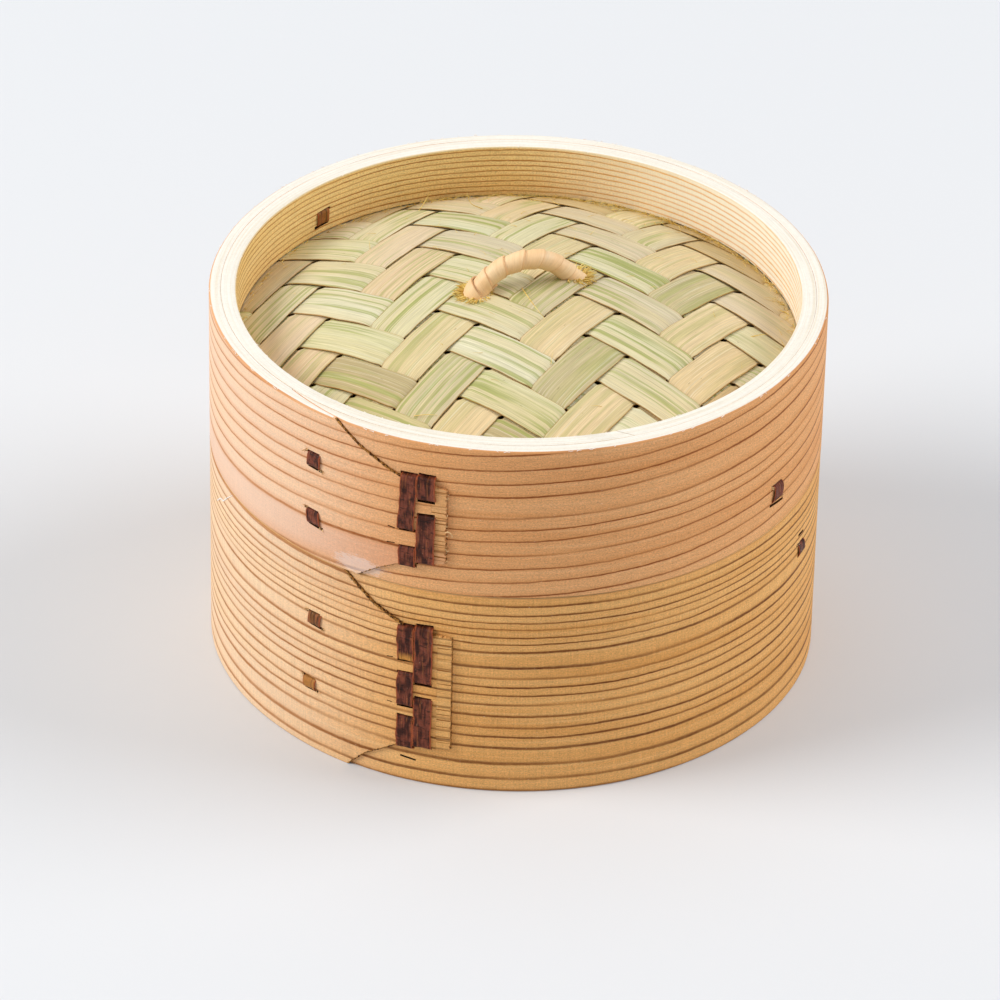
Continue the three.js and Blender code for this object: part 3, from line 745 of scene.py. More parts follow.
def hoop(node, body, slot, material, shape, groups, refill):
    """A hoop's piece with its slots cut; refill gives the fields of any points on it."""
    verts, faces = shape
    ob = piece(node + "_wood", verts, faces, material, HOOP_SHARP, **refill(verts))
    carve(ob, groups, refill)
    place(ob, body, slot, node)


def bleach_lid(theta, z):
    """A pale rubbed patch under the lid's lower cut."""
    return np.clip(1.5 - 1.5 * np.hypot((theta + 119) / 9.5, (z - 3.2) / 5.5), 0, 1)


def scratch_z(degrees):
    """Height of the slanting scratch on the basket's left."""
    return 57 + (degrees + 163) * 1.05


def bleach_basket(theta, z):
    """A slanting scratch at the left and a small patch at the top of the lap."""
    line = smooth(np.abs(z - scratch_z(theta)), 0.35, 0.12)
    scratch = line * smooth(theta, -164, -162) * smooth(theta, -153, -155)
    patch = 1 - np.hypot((theta + 121) / 2.2, (z - 65.6) / 1.6)
    return np.clip(np.maximum(scratch * 1.2, patch), 0, 1)


# The lid and the basket. Heights are from the base. Tip, upper and lower are the edges of the lap's
# outer leaf, in degrees and heights; soft rounds the hoop's low and high edge, tear makes the tip
# ragged, and burr is how wide the torn wood, painted dark partly as shade, along the slanting cuts is.
# Stitches are (degrees, width, [(top, bottom, lean), ...]) and ties are (degrees, top, bottom, lean,
# how light the bark is).
LID = SimpleNamespace(
    body="lid", material=cedar_lid, base=JOINT_Z, bottom=REST, height=RIM_Z - JOINT_Z, tip=-102.2,
    upper=[(-126, 51), (-122.3, 47.1), (-119, 43.4), (-116, 41.1), (-113, 38.6), (-110.5, 37.1),
           (-102.2, 35.1)],
    lower=[(-123, -3.6), (-120, -0.9), (-115.3, 4.2), (-110.9, 7.8), (-102.2, 10.6)],
    rows=44, soft=(0.3, 0.85), seed=3, tear=0.32, burr=0.4, bleach=bleach_lid,
    stitches={
        "lid_lacing_left": (-109.3, 4.9, [(38.1, 19.9, 0.05), (14.2, 7.7, 0.02)]),
        "lid_lacing_right": (-105.85, 5.5, [(38.3, 30.7, -0.03), (25.7, 9.4, 0.02)]),
    },
    ties={
        "lid_tie_upper_left": (-129.1, 34.7, 29.9, 0.1, 0.0),
        "lid_tie_upper_back": (135.8, 39.8, 35.2, -0.1, 0.35),
        "lid_tie_lower_left": (-129.2, 15.5, 10.6, -0.08, 0.0),
        "lid_tie_lower_right": (-33, 14.6, 9.2, 0.1, 0.0),
        "lid_tie_lower_back": (100, 15.3, 10.7, 0.0, 0.0),
    })
BASKET = SimpleNamespace(
    body="basket", material=cedar_basket, base=0.0, bottom=0.0, height=JOINT_Z - REST, tip=-100.8,
    upper=[(-124, 70), (-120.4, 64.9), (-115.8, 59.1), (-109.2, 53.8), (-100.8, 51.9)],
    lower=[(-123, -3.2), (-121, 0), (-117.4, 5.8), (-110.9, 12.2), (-100.8, 13.8)],
    rows=56, soft=(0.5, 0.35), seed=71, tear=0.1, burr=0.72, bleach=bleach_basket,
    stitches={
        "basket_lacing_left": (-109.3, 5.0, [(53.8, 42.3, 0.0), (38.1, 26.7, 0.01), (22.8, 12.1, -0.01)]),
        "basket_lacing_right": (-105.95, 5.5, [(54.3, 35.1, 0.01), (30.1, 13.0, 0.01)]),
    },
    ties={
        "basket_tie_upper_left": (-128.7, 47.4, 43.2, 0.12, 0.25),
        "basket_tie_upper_right": (-21.4, 51.3, 47, -0.15, 0.0),
        "basket_tie_upper_back": (72, 48.2, 43.8, 0.0, 0.0),
        "basket_tie_lower_left": (-129.9, 24.2, 20.5, 0.0, 0.66),
        "basket_tie_lower_back": (168, 20.2, 15.8, 0.1, 0.0),
    })


def slot_cutters(half):
    """Slots through the outer hoop for each lacing, and through both hoops for the ties."""
    rng = np.random.default_rng(11)

    def slot(r0, z, way, deeper, at, width, lean):
        """A slot from just past the bark's bend to a little inside it."""
        low, high = sorted((z + half.base - way * 0.5, z + half.base + way * deeper))
        return box_cutter(r0, at, width, low, high, lean)

    columns = [
        [slot(OUTER_IN - 1, z, way, rng.uniform(0.4, 0.75), at, 5.15 + rng.uniform(0, 0.1),
              rng.uniform(-0.12, 0.12))
         for top, bottom, _ in runs for z, way in ((top, 1), (bottom, -1))]
        for at, _, runs in half.stitches.values()]
    deep = [
        slot(INNER_R - 2, z, way, rng.uniform(0.3, 0.55), at - way * 0.45 + rng.uniform(-0.2, 0.2),
             5.2 + rng.uniform(0, 0.7), rng.uniform(-0.3, 0.1))
        for at, top, bottom, *_ in half.ties.values() for z, way in ((top, 1), (bottom, -1))]
    return columns, deep


def fillet(points, radius, steps=6):
    """A path with its corners rounded."""
    points = np.asarray(points, float)
    path = [points[0]]
    for before, here, after in zip(points[:-2], points[1:-1], points[2:]):
        a, b = before - here, after - here
        reach = min(radius, np.linalg.norm(a) * 0.49, np.linalg.norm(b) * 0.49)
        p, q = here + a / np.linalg.norm(a) * reach, here + b / np.linalg.norm(b) * reach
        for t in np.linspace(0, 1, steps):
            path.append((1 - t) ** 2 * p + 2 * t * (1 - t) * here + t * t * q)
    path.append(points[-1])
    return np.array(path)


def refine(path, step):
    """The same path with no gap longer than the step."""
    made = [path[0]]
    for a, b in zip(path[:-1], path[1:]):
        count = max(1, int(np.ceil(np.linalg.norm(b - a) / step)))
        made.extend(a + (b - a) * (i + 1) / count for i in range(count))
    return np.array(made)


BARK_T = 0.5
BARK_UP = 0.42  # from the wood to the middle of the bark on it
LACING_CROWN = 0.32  # how far the bark bulges in the middle of its width
TIE_CROWN = 0.4
TIE_WIDTH = 4.6
NARROW = 5.2  # a lacing narrower than this stands a little further out
NARROW_STAND = 0.16


def bark_ribbon(path, at, width, crown, seed, lean, middle):
    """A bark strip along a path of radius and height; returns a slab and its fields."""
    path = refine(fillet(path, 1.3), 0.7)
    along = lengths(path)
    normal = tangents(path)[:, ::-1] * (-1, 1)
    across = np.linspace(-1, 1, 9)
    half = width / 2 * (1 + 0.05 * ripple(along, seed, 9)[:, None])
    drift = 0.18 * ripple(along, seed + 3, 16)[:, None]
    bulge = crown * (1 - across**2) + 0.06 * ripple(along[:, None] * 0.8 + across * 3, seed + 7, 5)
    w = across * half + drift + lean * (path[:, 1:2] - middle)
    a = at * DEG

    def lift(offset):
        r = path[:, 0:1] + normal[:, 0:1] * offset
        z = path[:, 1:2] + normal[:, 1:2] * offset
        return np.stack([r * math.cos(a) - w * math.sin(a), r * math.sin(a) + w * math.cos(a), z + 0 * w], -1)

    rounded = BARK_T * (0.5 - 0.28 * across**6)
    verts, faces = slab(lift(rounded + bulge), lift(-rounded + bulge * 0.6))
    return verts, faces, strip_fields(along[:, None], w, seed * 7.3, np.abs(across) ** 3)


def bark_piece(node, body, ribbons, fresh):
    """Ribbons as one piece; fresh is how light the bark is, as a value or as a call on the points."""
    verts, faces = joined(ribbons)
    light = fresh(verts) if callable(fresh) else np.full(len(verts), fresh)
    ob = piece(node + "_bark", verts, faces, bark, 0.9, fresh=light, **joined_fields(ribbons))
    place(ob, body, "bark", node)


def worn_end(verts):
    """The lower end of the top left stitch of the basket, scraped down to the pale inner bark."""
    z = verts[:, 2]
    return smooth(z, 45.6, 43.2) * smooth(z, 41, 41.5)


def lacing(node, half, at, width, runs, seed):
    """The stitches of one strip of bark through the lap."""
    out = wall_r(at, half) + BARK_UP
    inside = OUTER_IN + 0.45
    ribbons = []
    for i, (top, bottom, lean) in enumerate(runs):
        top, bottom = top + half.base, bottom + half.base
        middle = (top + bottom) / 2
        stand = 0.1 * (i % 2) + (NARROW_STAND if width < NARROW else 0.0)
        path = [(inside, bottom - 0.9), (inside + 0.3, bottom), (out + stand, bottom), (out + 0.12, middle),
                (out + stand, top), (inside + 0.3, top), (inside, top + 0.9)]
        ribbons.append(bark_ribbon(path, at, width, LACING_CROWN, seed + i * 3, lean, middle))
    bark_piece(node, half.body, ribbons, worn_end if node == "basket_lacing_left" else 0.0)


def tie(node, half, at, top, bottom, lean, light, seed):
    """A closed loop of bark round both hoops."""
    out = wall_r(at, half) + BARK_UP
    inside = INNER_R - BARK_UP
    top, bottom = top + half.base, bottom + half.base
    middle_r, middle_z = (INNER_R + OUTER_R) / 2, (top + bottom) / 2
    path = [(middle_r, bottom), (out, bottom), (out + 0.25, middle_z), (out, top), (inside, top),
            (inside, bottom), (middle_r - 0.1, bottom)]
    ribbon = bark_ribbon(path, at, TIE_WIDTH, TIE_CROWN, seed, lean, middle_z)
    bark_piece(node, half.body, [ribbon], light)


def inner_hoop(node, body, material, seam, low, high, rows, soft_in, soft_out, seed, cutters, low_inner=None):
    """A plain ring, closed at a slanting seam."""
    base = low if low_inner is None else low_inner

    def refill(points):
        r = np.hypot(points[:, 0], points[:, 1])
        theta = np.degrees(np.arctan2(points[:, 1], points[:, 0]))
        u = (theta - seam + 3.5) % 360
        zero = np.zeros(len(points))
        return {"grain": np.stack([u * DEG * INNER_R, points[:, 2] - base, OUTER_R - r], 1),
                # Painted highlight: lighter on the inner wall that faces the key light.
                "pale": 1.9 * smooth(np.cos((theta - 12) * DEG), 0.1, 1.0),
                "wear": zero, "bleach": zero, "char": zero}

    theta = np.linspace(seam, seam + 359.85, 260)
    inner = INNER_R + 0.1 * ripple(theta * DEG * INNER_R, seed, 110)
    shape = bent_strip(theta, inner, INNER_OUT, low, high, rows, soft_out, soft_in,
                       low_inner=low_inner, slope=2.6)
    hoop(node, body, "cedar_inner", material, shape, [cutters], refill)


def mat_z(x, y):
    """Height of the mat's dome."""
    return MAT_EDGE_Z + MAT_RISE * (1 - (x * x + y * y) / (INNER_R * INNER_R))


lid_columns, lid_deep = slot_cutters(LID)
basket_columns, basket_deep = slot_cutters(BASKET)
lid_splits = [
    box_cutter(OUTER_R - 0.6, -112.4, 2.3, JOINT_Z + 19.5, JOINT_Z + 19.85, -0.1),
    box_cutter(OUTER_R - 0.6, -112.5, 2.6, JOINT_Z + 14.3, JOINT_Z + 14.6, 0.15),
    box_cutter(OUTER_R - 1.4, -33.0, 7.4, JOINT_Z + 7.6, JOINT_Z + 8.5, -0.35),
]
basket_slits = [
    box_cutter(OUTER_IN - 1, -108.9, 4.9, 7.6, 8.2, -0.35),
    box_cutter(OUTER_R - 1.6, -21.6, 4.2, 53.9, 54.8, -0.2),
    box_cutter(OUTER_R - 0.6, -112.4, 2.0, 42.2, 42.5, 0.12),
    box_cutter(OUTER_R - 0.6, -112.4, 1.8, 26.7, 26.95, -0.1),
]
for half, columns, deep, cracks in ((LID, lid_columns, lid_deep, lid_splits),
                                    (BASKET, basket_columns, basket_deep, basket_slits)):
    hoop(half.body + "_outer_hoop", half.body, "cedar_" + half.body, half.material, outer_hoop(half),
         (columns[0] + deep, columns[1] + cracks), lambda points, half=half: outer_fields(points, half))

inner_hoop("lid_upper_inner_hoop", "lid", cedar_inner, -70, mat_z(INNER_OUT, 0) + MAT_CLAMP, RIM_Z, 18,
           (0.2, 0.5), (0.1, 0.05), 5, lid_deep, low_inner=mat_z(INNER_R, 0) + MAT_CLAMP)
inner_hoop("lid_lower_inner_hoop", "lid", cedar_inner, 25, low_of("lid_lower_inner_hoop"),
           mat_z(INNER_OUT, 0) - MAT_CLAMP, 16, (0.5, 0.2), (0.4, 0.05), 6, lid_deep)
inner_hoop("basket_upper_inner_hoop", "basket", cedar_inner_low, 140, FLOOR_TOP + 0.15,
           top_of("basket_upper_inner_hoop"), 26, (0.3, 0.6), (0.2, 0.5), 7, basket_deep)
BARS = ("floor_support_bar_front", "floor_support_bar_back")
bar_slots = []
for bar in BARS:
    low, high = box_mm(bar)
    for side in (-1, 1):
        at = 0 if side > 0 else 180
        verts, faces = box_cutter(0, at, high.y - low.y + 0.4, low.z - 0.2, high.z + 2, r1=95)
        bar_slots.append((verts + (side * 20.0, (low.y + high.y) / 2, 0), faces))
inner_hoop("basket_lower_inner_hoop", "basket", cedar_inner_low, 60, low_of("basket_lower_inner_hoop"),
           FLOOR_Z - 0.15, 18, (0.5, 0.3), (0.4, 0.2), 8, basket_deep + bar_slots)

seed = 100
for half in (LID, BASKET):
    for node, (at, width, runs) in half.stitches.items():
        lacing(node, half, at, width, runs, seed)
        seed += 10
for half in (LID, BASKET):
    for node, (at, top, bottom, lean, light) in half.ties.items():
        tie(node, half, at, top, bottom, lean, light, seed)
        seed += 10

# Woven mat ---------------------------------------------------------------------------------------

MAT_ANGLE = 56 * DEG
STRIP_GAP = 0.8
STRIP_T = 0.45
LIFT = 0.42  # how far a strip goes up or down to pass another
CORNER_PINCH = 0.45
OUTER_EDGE = 83.6
MAT_TINT = (0.85, 0.86, 0.9)
STRIP_ROWS = 11
STRIP_STEPS = 190
EDGE_WOBBLE = 0.28

# Each strip's own colour and how green its streaks are.
WARP_LOOK = [
    ((217, 194, 152), 0.3), ((237, 224, 180), 0.8), ((243, 216, 174), 0.5), ((241, 210, 162), 0.6),
    ((235, 224, 174), 0.85), ((237, 214, 158), 0.6), ((223, 206, 160), 0.8), ((243, 214, 160), 0.25),
    ((209, 192, 142), 0.5), ((243, 216, 164), 0.35), ((239, 210, 156), 0.25), ((221, 186, 130), 0.15),
]
WEFT_LOOK = [
    ((221, 202, 140), 0.45), ((217, 202, 142), 0.7), ((203, 182, 130), 0.75), ((231, 222, 168), 0.8),
    ((241, 232, 190), 0.75), ((235, 222, 176), 0.7), ((235, 224, 176), 0.85), ((231, 214, 174), 0.75),
    ((233, 226, 180), 0.9), ((233, 212, 176), 0.25), ((229, 208, 168), 0.25), ((211, 180, 124), 0.15),
    ((201, 166, 108), 0.1),
]


# The two sets of strips: strips narrow by the squeeze away from the middle one, and the phase says
# which of them run over at a crossing.
WARP = SimpleNamespace(
    name="warp", count=12, pitch=14.2, squeeze=0.02, middle=6.5, step=1.0, phase=2, seed=200,
    way=(math.cos(MAT_ANGLE), math.sin(MAT_ANGLE)), look=WARP_LOOK)
WEFT = SimpleNamespace(
    name="weft", count=13, pitch=15.2, squeeze=0.055, middle=6.9, step=1.01, phase=0, seed=400,
    way=(math.sin(MAT_ANGLE), -math.cos(MAT_ANGLE)), look=WEFT_LOOK)


def strip_place(weave, number):
    u = weave.step * (number - weave.middle)
    return weave.pitch * u - weave.squeeze * u**3


def strip_edges(weave, number):
    low = strip_place(weave, number - 0.5) + STRIP_GAP / 2
    high = strip_place(weave, number + 0.5) - STRIP_GAP / 2
    return (-OUTER_EDGE if number == 1 else low), (OUTER_EDGE if number == weave.count else high)


def wave_of(t, other, over):
    """-1 under, 1 over, along a strip that crosses the other set's strips."""
    marks, levels = [], []
    for number, on_top in enumerate(over, 1):
        low, high = strip_edges(other, number)
        marks += [low + 1.6, high - 1.6]
        levels += [1.0 if on_top else -1.0] * 2
    return np.sin(np.interp(t, marks, levels) * np.pi / 2)


def humps(t, other, over):
    """0 where the strip runs under and in the gaps, up to 1 in the middle of each float on top."""
    bulge = np.zeros_like(t)
    for first in range(1, other.count + 1):
        if not over[first - 1] or (first > 1 and over[first - 2]):
            continue
        last = first
        while last < other.count and over[last]:
            last += 1
        low, high = strip_edges(other, first)[0], strip_edges(other, last)[1]
        x = np.clip((t - low) / (high - low), 0, 1)
        bulge = np.maximum(bulge, np.sin(np.pi * x) ** 0.7)
    return bulge


def mat_strip(weave, other, number):
    """One strip, over two and under two of the other set's strips, on the mat's dome."""
    over = [(number + crossed + weave.phase) % 4 < 2 for crossed in range(1, other.count + 1)]
    seed = weave.seed + 7 * number
    low, high = strip_edges(weave, number)
    share = np.sin(np.linspace(-1, 1, STRIP_ROWS) * np.pi / 2)
    centre = (low + high) / 2
    s0 = centre + share * ((high - low) / 2)
    t = np.linspace(-1, 1, STRIP_STEPS)[:, None] * np.sqrt(np.maximum(MAT_REACH**2 - s0**2, 30.0))
    if max(abs(low), abs(high)) > OUTER_EDGE - 1:
        s = s0 + 0 * t
    else:
        wobble_low = EDGE_WOBBLE * ripple(t, seed, 46, 3)
        wobble_high = EDGE_WOBBLE * ripple(t, seed + 1, 52, 3)
        s = s0 + (1 - share) / 2 * wobble_low + (1 + share) / 2 * wobble_high
    wave = wave_of(t, other, over)
    s = s - share * CORNER_PINCH * (1 - wave**2)
    x, y = (along * t + across * s for along, across in zip(weave.way, other.way))
    calm = smooth(np.hypot(x, y), 82.5, 76)
    hump = humps(t, other, over)
    arch = 1 - share**2
    middle = mat_z(x, y) + LIFT * wave + calm * (0.3 * hump + 0.22 * hump * arch + 0.12 * arch)
    twist = 0.12 * ripple(t, seed + 5, 60) * share
    middle = middle + calm * (twist * smooth(hump, 0, 0.6) + 0.08 * ripple(t, seed + 6, 23))
    thick = STRIP_T * (0.5 - 0.22 * np.abs(share) ** 8)
    verts, faces = slab(np.stack([x, y, middle + thick], -1), np.stack([x, y, middle - thick], -1))
    colour, green = weave.look[number - 1]
    tint = np.array(srgb(*colour)[:3]) * MAT_TINT
    node = f"lid_{weave.name}_strip_{number:02d}"
    ob = piece(node + "_bamboo", verts, faces, bamboo_mat, 0.8, tint=np.tile(tint, (len(verts), 1)),
               green=np.full(len(verts), green),
               **strip_fields(t, s - centre, seed * 3.7, np.abs(share) ** 14))
    place(ob, "lid", "bamboo_" + weave.name, node)


for weave, other in ((WARP, WEFT), (WEFT, WARP)):
    for number in range(1, weave.count + 1):
        mat_strip(weave, other, number)

# Handle ------------------------------------------------------------------------------------------

HANDLE_FOOT = np.array([-12.6, -2.3, 0])
HEADING = 21.9 * DEG
HANDLE_WAY = np.array([math.cos(HEADING), math.sin(HEADING), 0])
HANDLE_SIDE = np.array([-math.sin(HEADING), math.cos(HEADING), 0])
# The handle's middle line: how far from the foot, and how high over the mat.
ROUTE = [(-8.5, -4.2), (-4, -3.9), (-1.2, -1.6), (0.6, 1.2), (3.1, 4), (6.5, 6.7), (10.5, 8.1), (16, 8.7),
         (21.5, 7.7), (25.6, 5.3), (29, 2.4), (32, -0.6), (35.5, -3.6), (40.5, -4.3)]
CORE_R = 1.9
FOOT_FLARE = 0.2  # how much wider the wrap is at its first foot


def spline(points, count):
    """A smooth path through the points (Catmull-Rom), even in length."""
    p = np.asarray(points, float)
    p = np.concatenate([2 * p[:1] - p[1:2], p, 2 * p[-1:] - p[-2:-1]])
    made = []
    for i in range(1, len(p) - 2):
        a, b, c, d = p[i - 1: i + 3]
        for t in np.linspace(0, 1, 24, endpoint=False):
            bend = (2 * a - 5 * b + 4 * c - d) * t * t + (3 * b - 3 * c + d - a) * t**3
            made.append(0.5 * (2 * b + (c - a) * t + bend))
    made = np.array(made + [p[-2]])
    length = lengths(made)
    at = np.linspace(0, length[-1], count)
    return np.stack([np.interp(at, length, made[:, i]) for i in range(3)], 1)


def tube(path, radius, sides, side):
    """A closed tube round a path; radius has a value for each point."""
    tangent = tangents(path)
    side = side - tangent * (side * tangent).sum(1)[:, None]
    side /= np.linalg.norm(side, axis=1)[:, None]
    up = np.cross(tangent, side)
    angle = (np.arange(sides) * 2 * np.pi / sides)[None, :, None]
    ring = np.cos(angle) * side[:, None, :] + np.sin(angle) * up[:, None, :]
    verts = (path[:, None, :] + ring * radius[:, None, None]).reshape(-1, 3)
    here = np.arange(len(verts)).reshape(-1, sides)
    beside = np.roll(here, -1, axis=1)
    faces = [np.stack([here[:-1], beside[:-1], beside[1:], here[1:]], -1).reshape(-1, 4)]
    for a, b, centre in ((beside[0], here[0], len(verts)), (here[-1], beside[-1], len(verts) + 1)):
        centre = np.full(sides, centre)
        faces.append(np.stack([a, b, centre, centre], -1))
    return np.concatenate([verts, path[:1], path[-1:]]), np.concatenate(faces)


HAIR_SIDES = 5
HAIR_POINTS = 8


def hairs(name, body, slot, material, paths):
    """Loose fibres: thin tubes that taper to their end. Each path is (points, radius)."""
    parts = []
    for i, (points, radius) in enumerate(paths):
        path = spline(points, HAIR_POINTS)
        side = np.cross(path[-1] - path[0], (0.31, 0.17, 0.93))
        taper = radius * (1 - 0.75 * np.linspace(0, 1, len(path)) ** 2)
        verts, faces = tube(path, taper, HAIR_SIDES, side / np.linalg.norm(side))
        grain = np.stack([verts[:, 0], verts[:, 1] + verts[:, 2], np.full(len(verts), i * 1.7)], 1)
        parts.append((verts, faces, {"grain": grain}))
    place(piece(name, *joined(parts), material, 1.2, **joined_fields(parts)), body, slot)


def on_handle(distance, height):
    """A point over the handle's line on the mat."""
    x, y, _ = HANDLE_FOOT + HANDLE_WAY * distance
    return x, y, mat_z(x, y) + height


handle_path = spline([on_handle(*point) for point in ROUTE], 240)
core_r = CORE_R * (1 + 0.05 * ripple(np.linspace(0, 1, len(handle_path)) * 60, 9, 14))
verts, faces = tube(handle_path, core_r, 20, HANDLE_SIDE)
core = piece("handle_core_rattan", verts, faces, rattan, 1.2, grain=verts * (1, 2, 1),
             edge=np.zeros(len(verts)))
place(core, "lid", "rattan", "handle_core")


def wrap_strip(span, turns, lap, lift, phase, seed):
    """A flat strip wound round the core, each turn lapping the last.

    The span is where it starts and ends, as shares of the core's length.
    """
    turn = np.linspace(0, turns, int(turns * 44))[:, None]
    pitch = (span[1] - span[0]) / (turns + 0.6)
    across = np.linspace(0, 1, 9)
    width = lap * pitch
    wobble = 1 + 0.06 * ripple(turn, seed, 1.7)
    at = span[0] + pitch * turn + (across - 0.1) * width * wobble
    place_at = np.clip(at, 0, 1) * (len(handle_path) - 1)
    index = np.arange(len(handle_path))
    middle, forward = (np.stack([np.interp(place_at, index, values[:, i]) for i in range(3)], -1)
                       for values in (handle_path, tangents(handle_path)))
    up = -np.cross(HANDLE_SIDE, forward)
    angle = 2 * np.pi * (turn[..., None] + phase)
    out = up * np.cos(angle) + HANDLE_SIDE * np.sin(angle)
    inside = CORE_R + 0.05 + lift + 0.62 * across**1.4 + 0.05 * ripple(turn, seed + 1, 0.9)
    thick = 0.2 + 0.4 * np.sin(np.pi * np.clip(across * 0.62 + 0.12, 0, 1))
    flare = 1 + FOOT_FLARE * smooth(at, 0.27, 0.17)
    verts, faces = slab(middle + out * ((inside + thick) * flare)[..., None],
                        middle + out * (inside * flare)[..., None])
    mm = turn * 2 * np.pi * 2.6
    return verts, faces, strip_fields(mm, across * 5.0, 0.0, smooth(across, 0.86, 1.0))


wraps = [wrap_strip((0.09, 0.9), 8.0, 1.36, 0.0, 0.0, 77),
         wrap_strip((0.125, 0.289), 0.85, 0.7, 0.5, -0.3, 85)]
wrap = piece("handle_wrap_rattan", *joined(wraps), rattan, 0.8, **joined_fields(wraps))
place(wrap, "lid", "rattan", "handle_wrap")

# Frayed ends of the core's fibres where the handle goes through the mat.
rng = np.random.default_rng(5)
frays = []
for distance, count, inner_r, outer_r, lean in ((0.4, 330, 2.9, 4.5, -1), (31.2, 330, 2.2, 4.0, 1)):
    foot = HANDLE_FOOT + HANDLE_WAY * distance
    for _ in range(count):
        angle = rng.uniform(0, 2 * np.pi)
        r = rng.uniform(inner_r, outer_r)
        p = foot + np.array([math.cos(angle) * r, math.sin(angle) * r * 1.1, 0])
        p[2] = mat_z(p[0], p[1]) + rng.uniform(-0.6, 0.8)
        out = np.array([math.cos(angle), math.sin(angle), 0]) + HANDLE_WAY * lean * 0.5
        length = rng.uniform(0.9, 3.0)
        q = p + out * length * 0.35 + (0, 0, length * rng.uniform(0.15, 0.5))
        e = q + out * length * rng.uniform(0.3, 0.7) + (0, 0, rng.uniform(-0.5, 0.5))
        frays.append(([p, q, e], rng.uniform(0.14, 0.28)))
hairs("handle_frayed_fibres", "lid", "rattan", straw, frays)

# Floor -------------------------------------------------------------------------------------------


def plank(node, axis, reach, z_of, thick, seed, rows=11, count=120, round_mm=0.7):
    """A flat strip along an axis, as wide as its CAD piece; reach gives its half length at each row."""
    low, high = box_mm(node)
    middle_x, middle_y = (low.x + high.x) / 2, (low.y + high.y) / 2
    share = np.linspace(-1, 1, rows)
    offset = share * ((high.x - low.x if axis == 1 else high.y - low.y) / 2)
    t = np.linspace(-1, 1, count)[:, None] * reach(offset)
    s = offset * (1 + 0.02 * ripple(t, seed, 70))
    fall = round_mm * (1 - np.sqrt(1 - np.clip((np.abs(share) - 0.86) / 0.14, 0, 1) ** 2))
    x, y = (middle_x + s, t) if axis == 1 else (t, middle_y + s)
    top = z_of(t) + thick / 2 - fall * 0.9 + 0.05 * ripple(t, seed + 2, 31)
    bottom = z_of(t) - thick / 2 + fall * 0.6
    verts, faces = slab(np.stack([x, y, top], -1), np.stack([x, y, bottom], -1))
    colour = np.array(srgb(222, 196, 136)[:3]) * np.random.default_rng(seed).uniform(0.94, 1.05)
    ob = piece(node + "_bamboo", verts, faces, bamboo_floor, 0.8, tint=np.tile(colour, (len(verts), 1)),
               green=np.full(len(verts), 0.25),
               **strip_fields(t, s, seed * 2.9, 0.6 * np.abs(share) ** 9))
    place(ob, "basket", "bamboo_floor", node)


SLATS = [f"floor_slat_{k}" for k in range(1, 10)]
SLAT_REACH = 85.6  # how far from the middle the slats and the bars end
BAR_REACH = 85.9
for k, node in enumerate(SLATS, 1):
    low, high = box_mm(node)
    x = (low.x + high.x) / 2
    knot = np.random.default_rng(600 + k).uniform(-60, 60)
    plank(node, 1, lambda s, x=x: np.sqrt(SLAT_REACH**2 - (x + s) ** 2),
          lambda t, knot=knot: (FLOOR_Z + FLOOR_TOP) / 2 + 0.22 * np.exp(-((t - knot) / 1.1) ** 2),
          FLOOR_TOP - FLOOR_Z, 600 + k)

BATTEN_RISE = (FLOOR_TOP - FLOOR_Z) / 2 + 0.7
for node, first, seed in (("floor_batten_front", 1, 700), ("floor_batten_back", -1, 710)):
    marks, levels = [], []
    for k, slat in enumerate(SLATS):
        low, high = box_mm(slat)
        marks += [low.x + 0.4, high.x - 0.4]
        levels += [first * (-1) ** k] * 2

    def batten_z(t, marks=marks, levels=levels):
        """Over one slat and under the next."""
        return (FLOOR_TOP + FLOOR_Z) / 2 + BATTEN_RISE * np.sin(np.pi / 2 * np.interp(t, marks, levels))

    plank(node, 0, lambda s, end=box_mm(node)[1].x: np.full_like(s, end), batten_z, 0.8, seed,
          rows=7, count=330, round_mm=0.25)

for i, node in enumerate(BARS):
    low, high = box_mm(node)
    y, z = (low.y + high.y) / 2, (low.z + high.z) / 2
    plank(node, 0, lambda s, y=y: np.sqrt(BAR_REACH**2 - (y + s) ** 2), lambda t, z=z: z + 0 * t,
          high.z - low.z, 720 + i)

# Loose fibres on the mat and splinters on the wood -----------------------------------------------


def on_mat(x, y, up):
    return x, y, mat_z(x, y) + up


loose = [
    ([on_mat(-30.6, 64.1, 0.6), on_mat(-28.8, 66, 3), on_mat(-27.1, 65.2, 6.5)], 0.14),
    ([on_mat(-11.1, 62, 0.8), on_mat(-14.7, 59.7, 3.5), on_mat(-16, 61.5, 7)], 0.14),
    ([on_mat(0.9, 0, 1.2), on_mat(4.2, -11.3, 3), on_mat(7.7, -15.9, 1.2)], 0.17),
    ([on_mat(67.5, -6.1, 0.8), on_mat(70.1, -5.2, 1.8), on_mat(72.8, -5, 3)], 0.16),
    ([on_mat(-29.1, -56, 1), on_mat(-25.7, -56.8, 1.8), on_mat(-22.3, -56.4, 1)], 0.13),
]
rng = np.random.default_rng(21)
for i in range(330):
    a = rng.uniform(0, 2 * np.pi) if i < 120 else rng.normal(70, 38) * DEG
    r = 82 - abs(rng.normal(0, 3.2)) if rng.uniform() < 0.7 else 80 * math.sqrt(rng.uniform())
    start = np.array([r * math.cos(a), r * math.sin(a)])
    heading = rng.uniform(0, 2 * np.pi)
    step = np.array([math.cos(heading), math.sin(heading)]) * rng.uniform(2, 6.5) / 2
    middle = start + step
    end = middle + step + rng.normal(0, 0.5, 2)
    if math.hypot(*end) > 81 or math.hypot(*middle) > 81.5:
        continue
    path = [on_mat(*start, 0.5), on_mat(*middle, rng.uniform(0.9, 1.8)), on_mat(*end, rng.uniform(0.8, 2.4))]
    loose.append((path, rng.uniform(0.04, 0.09)))

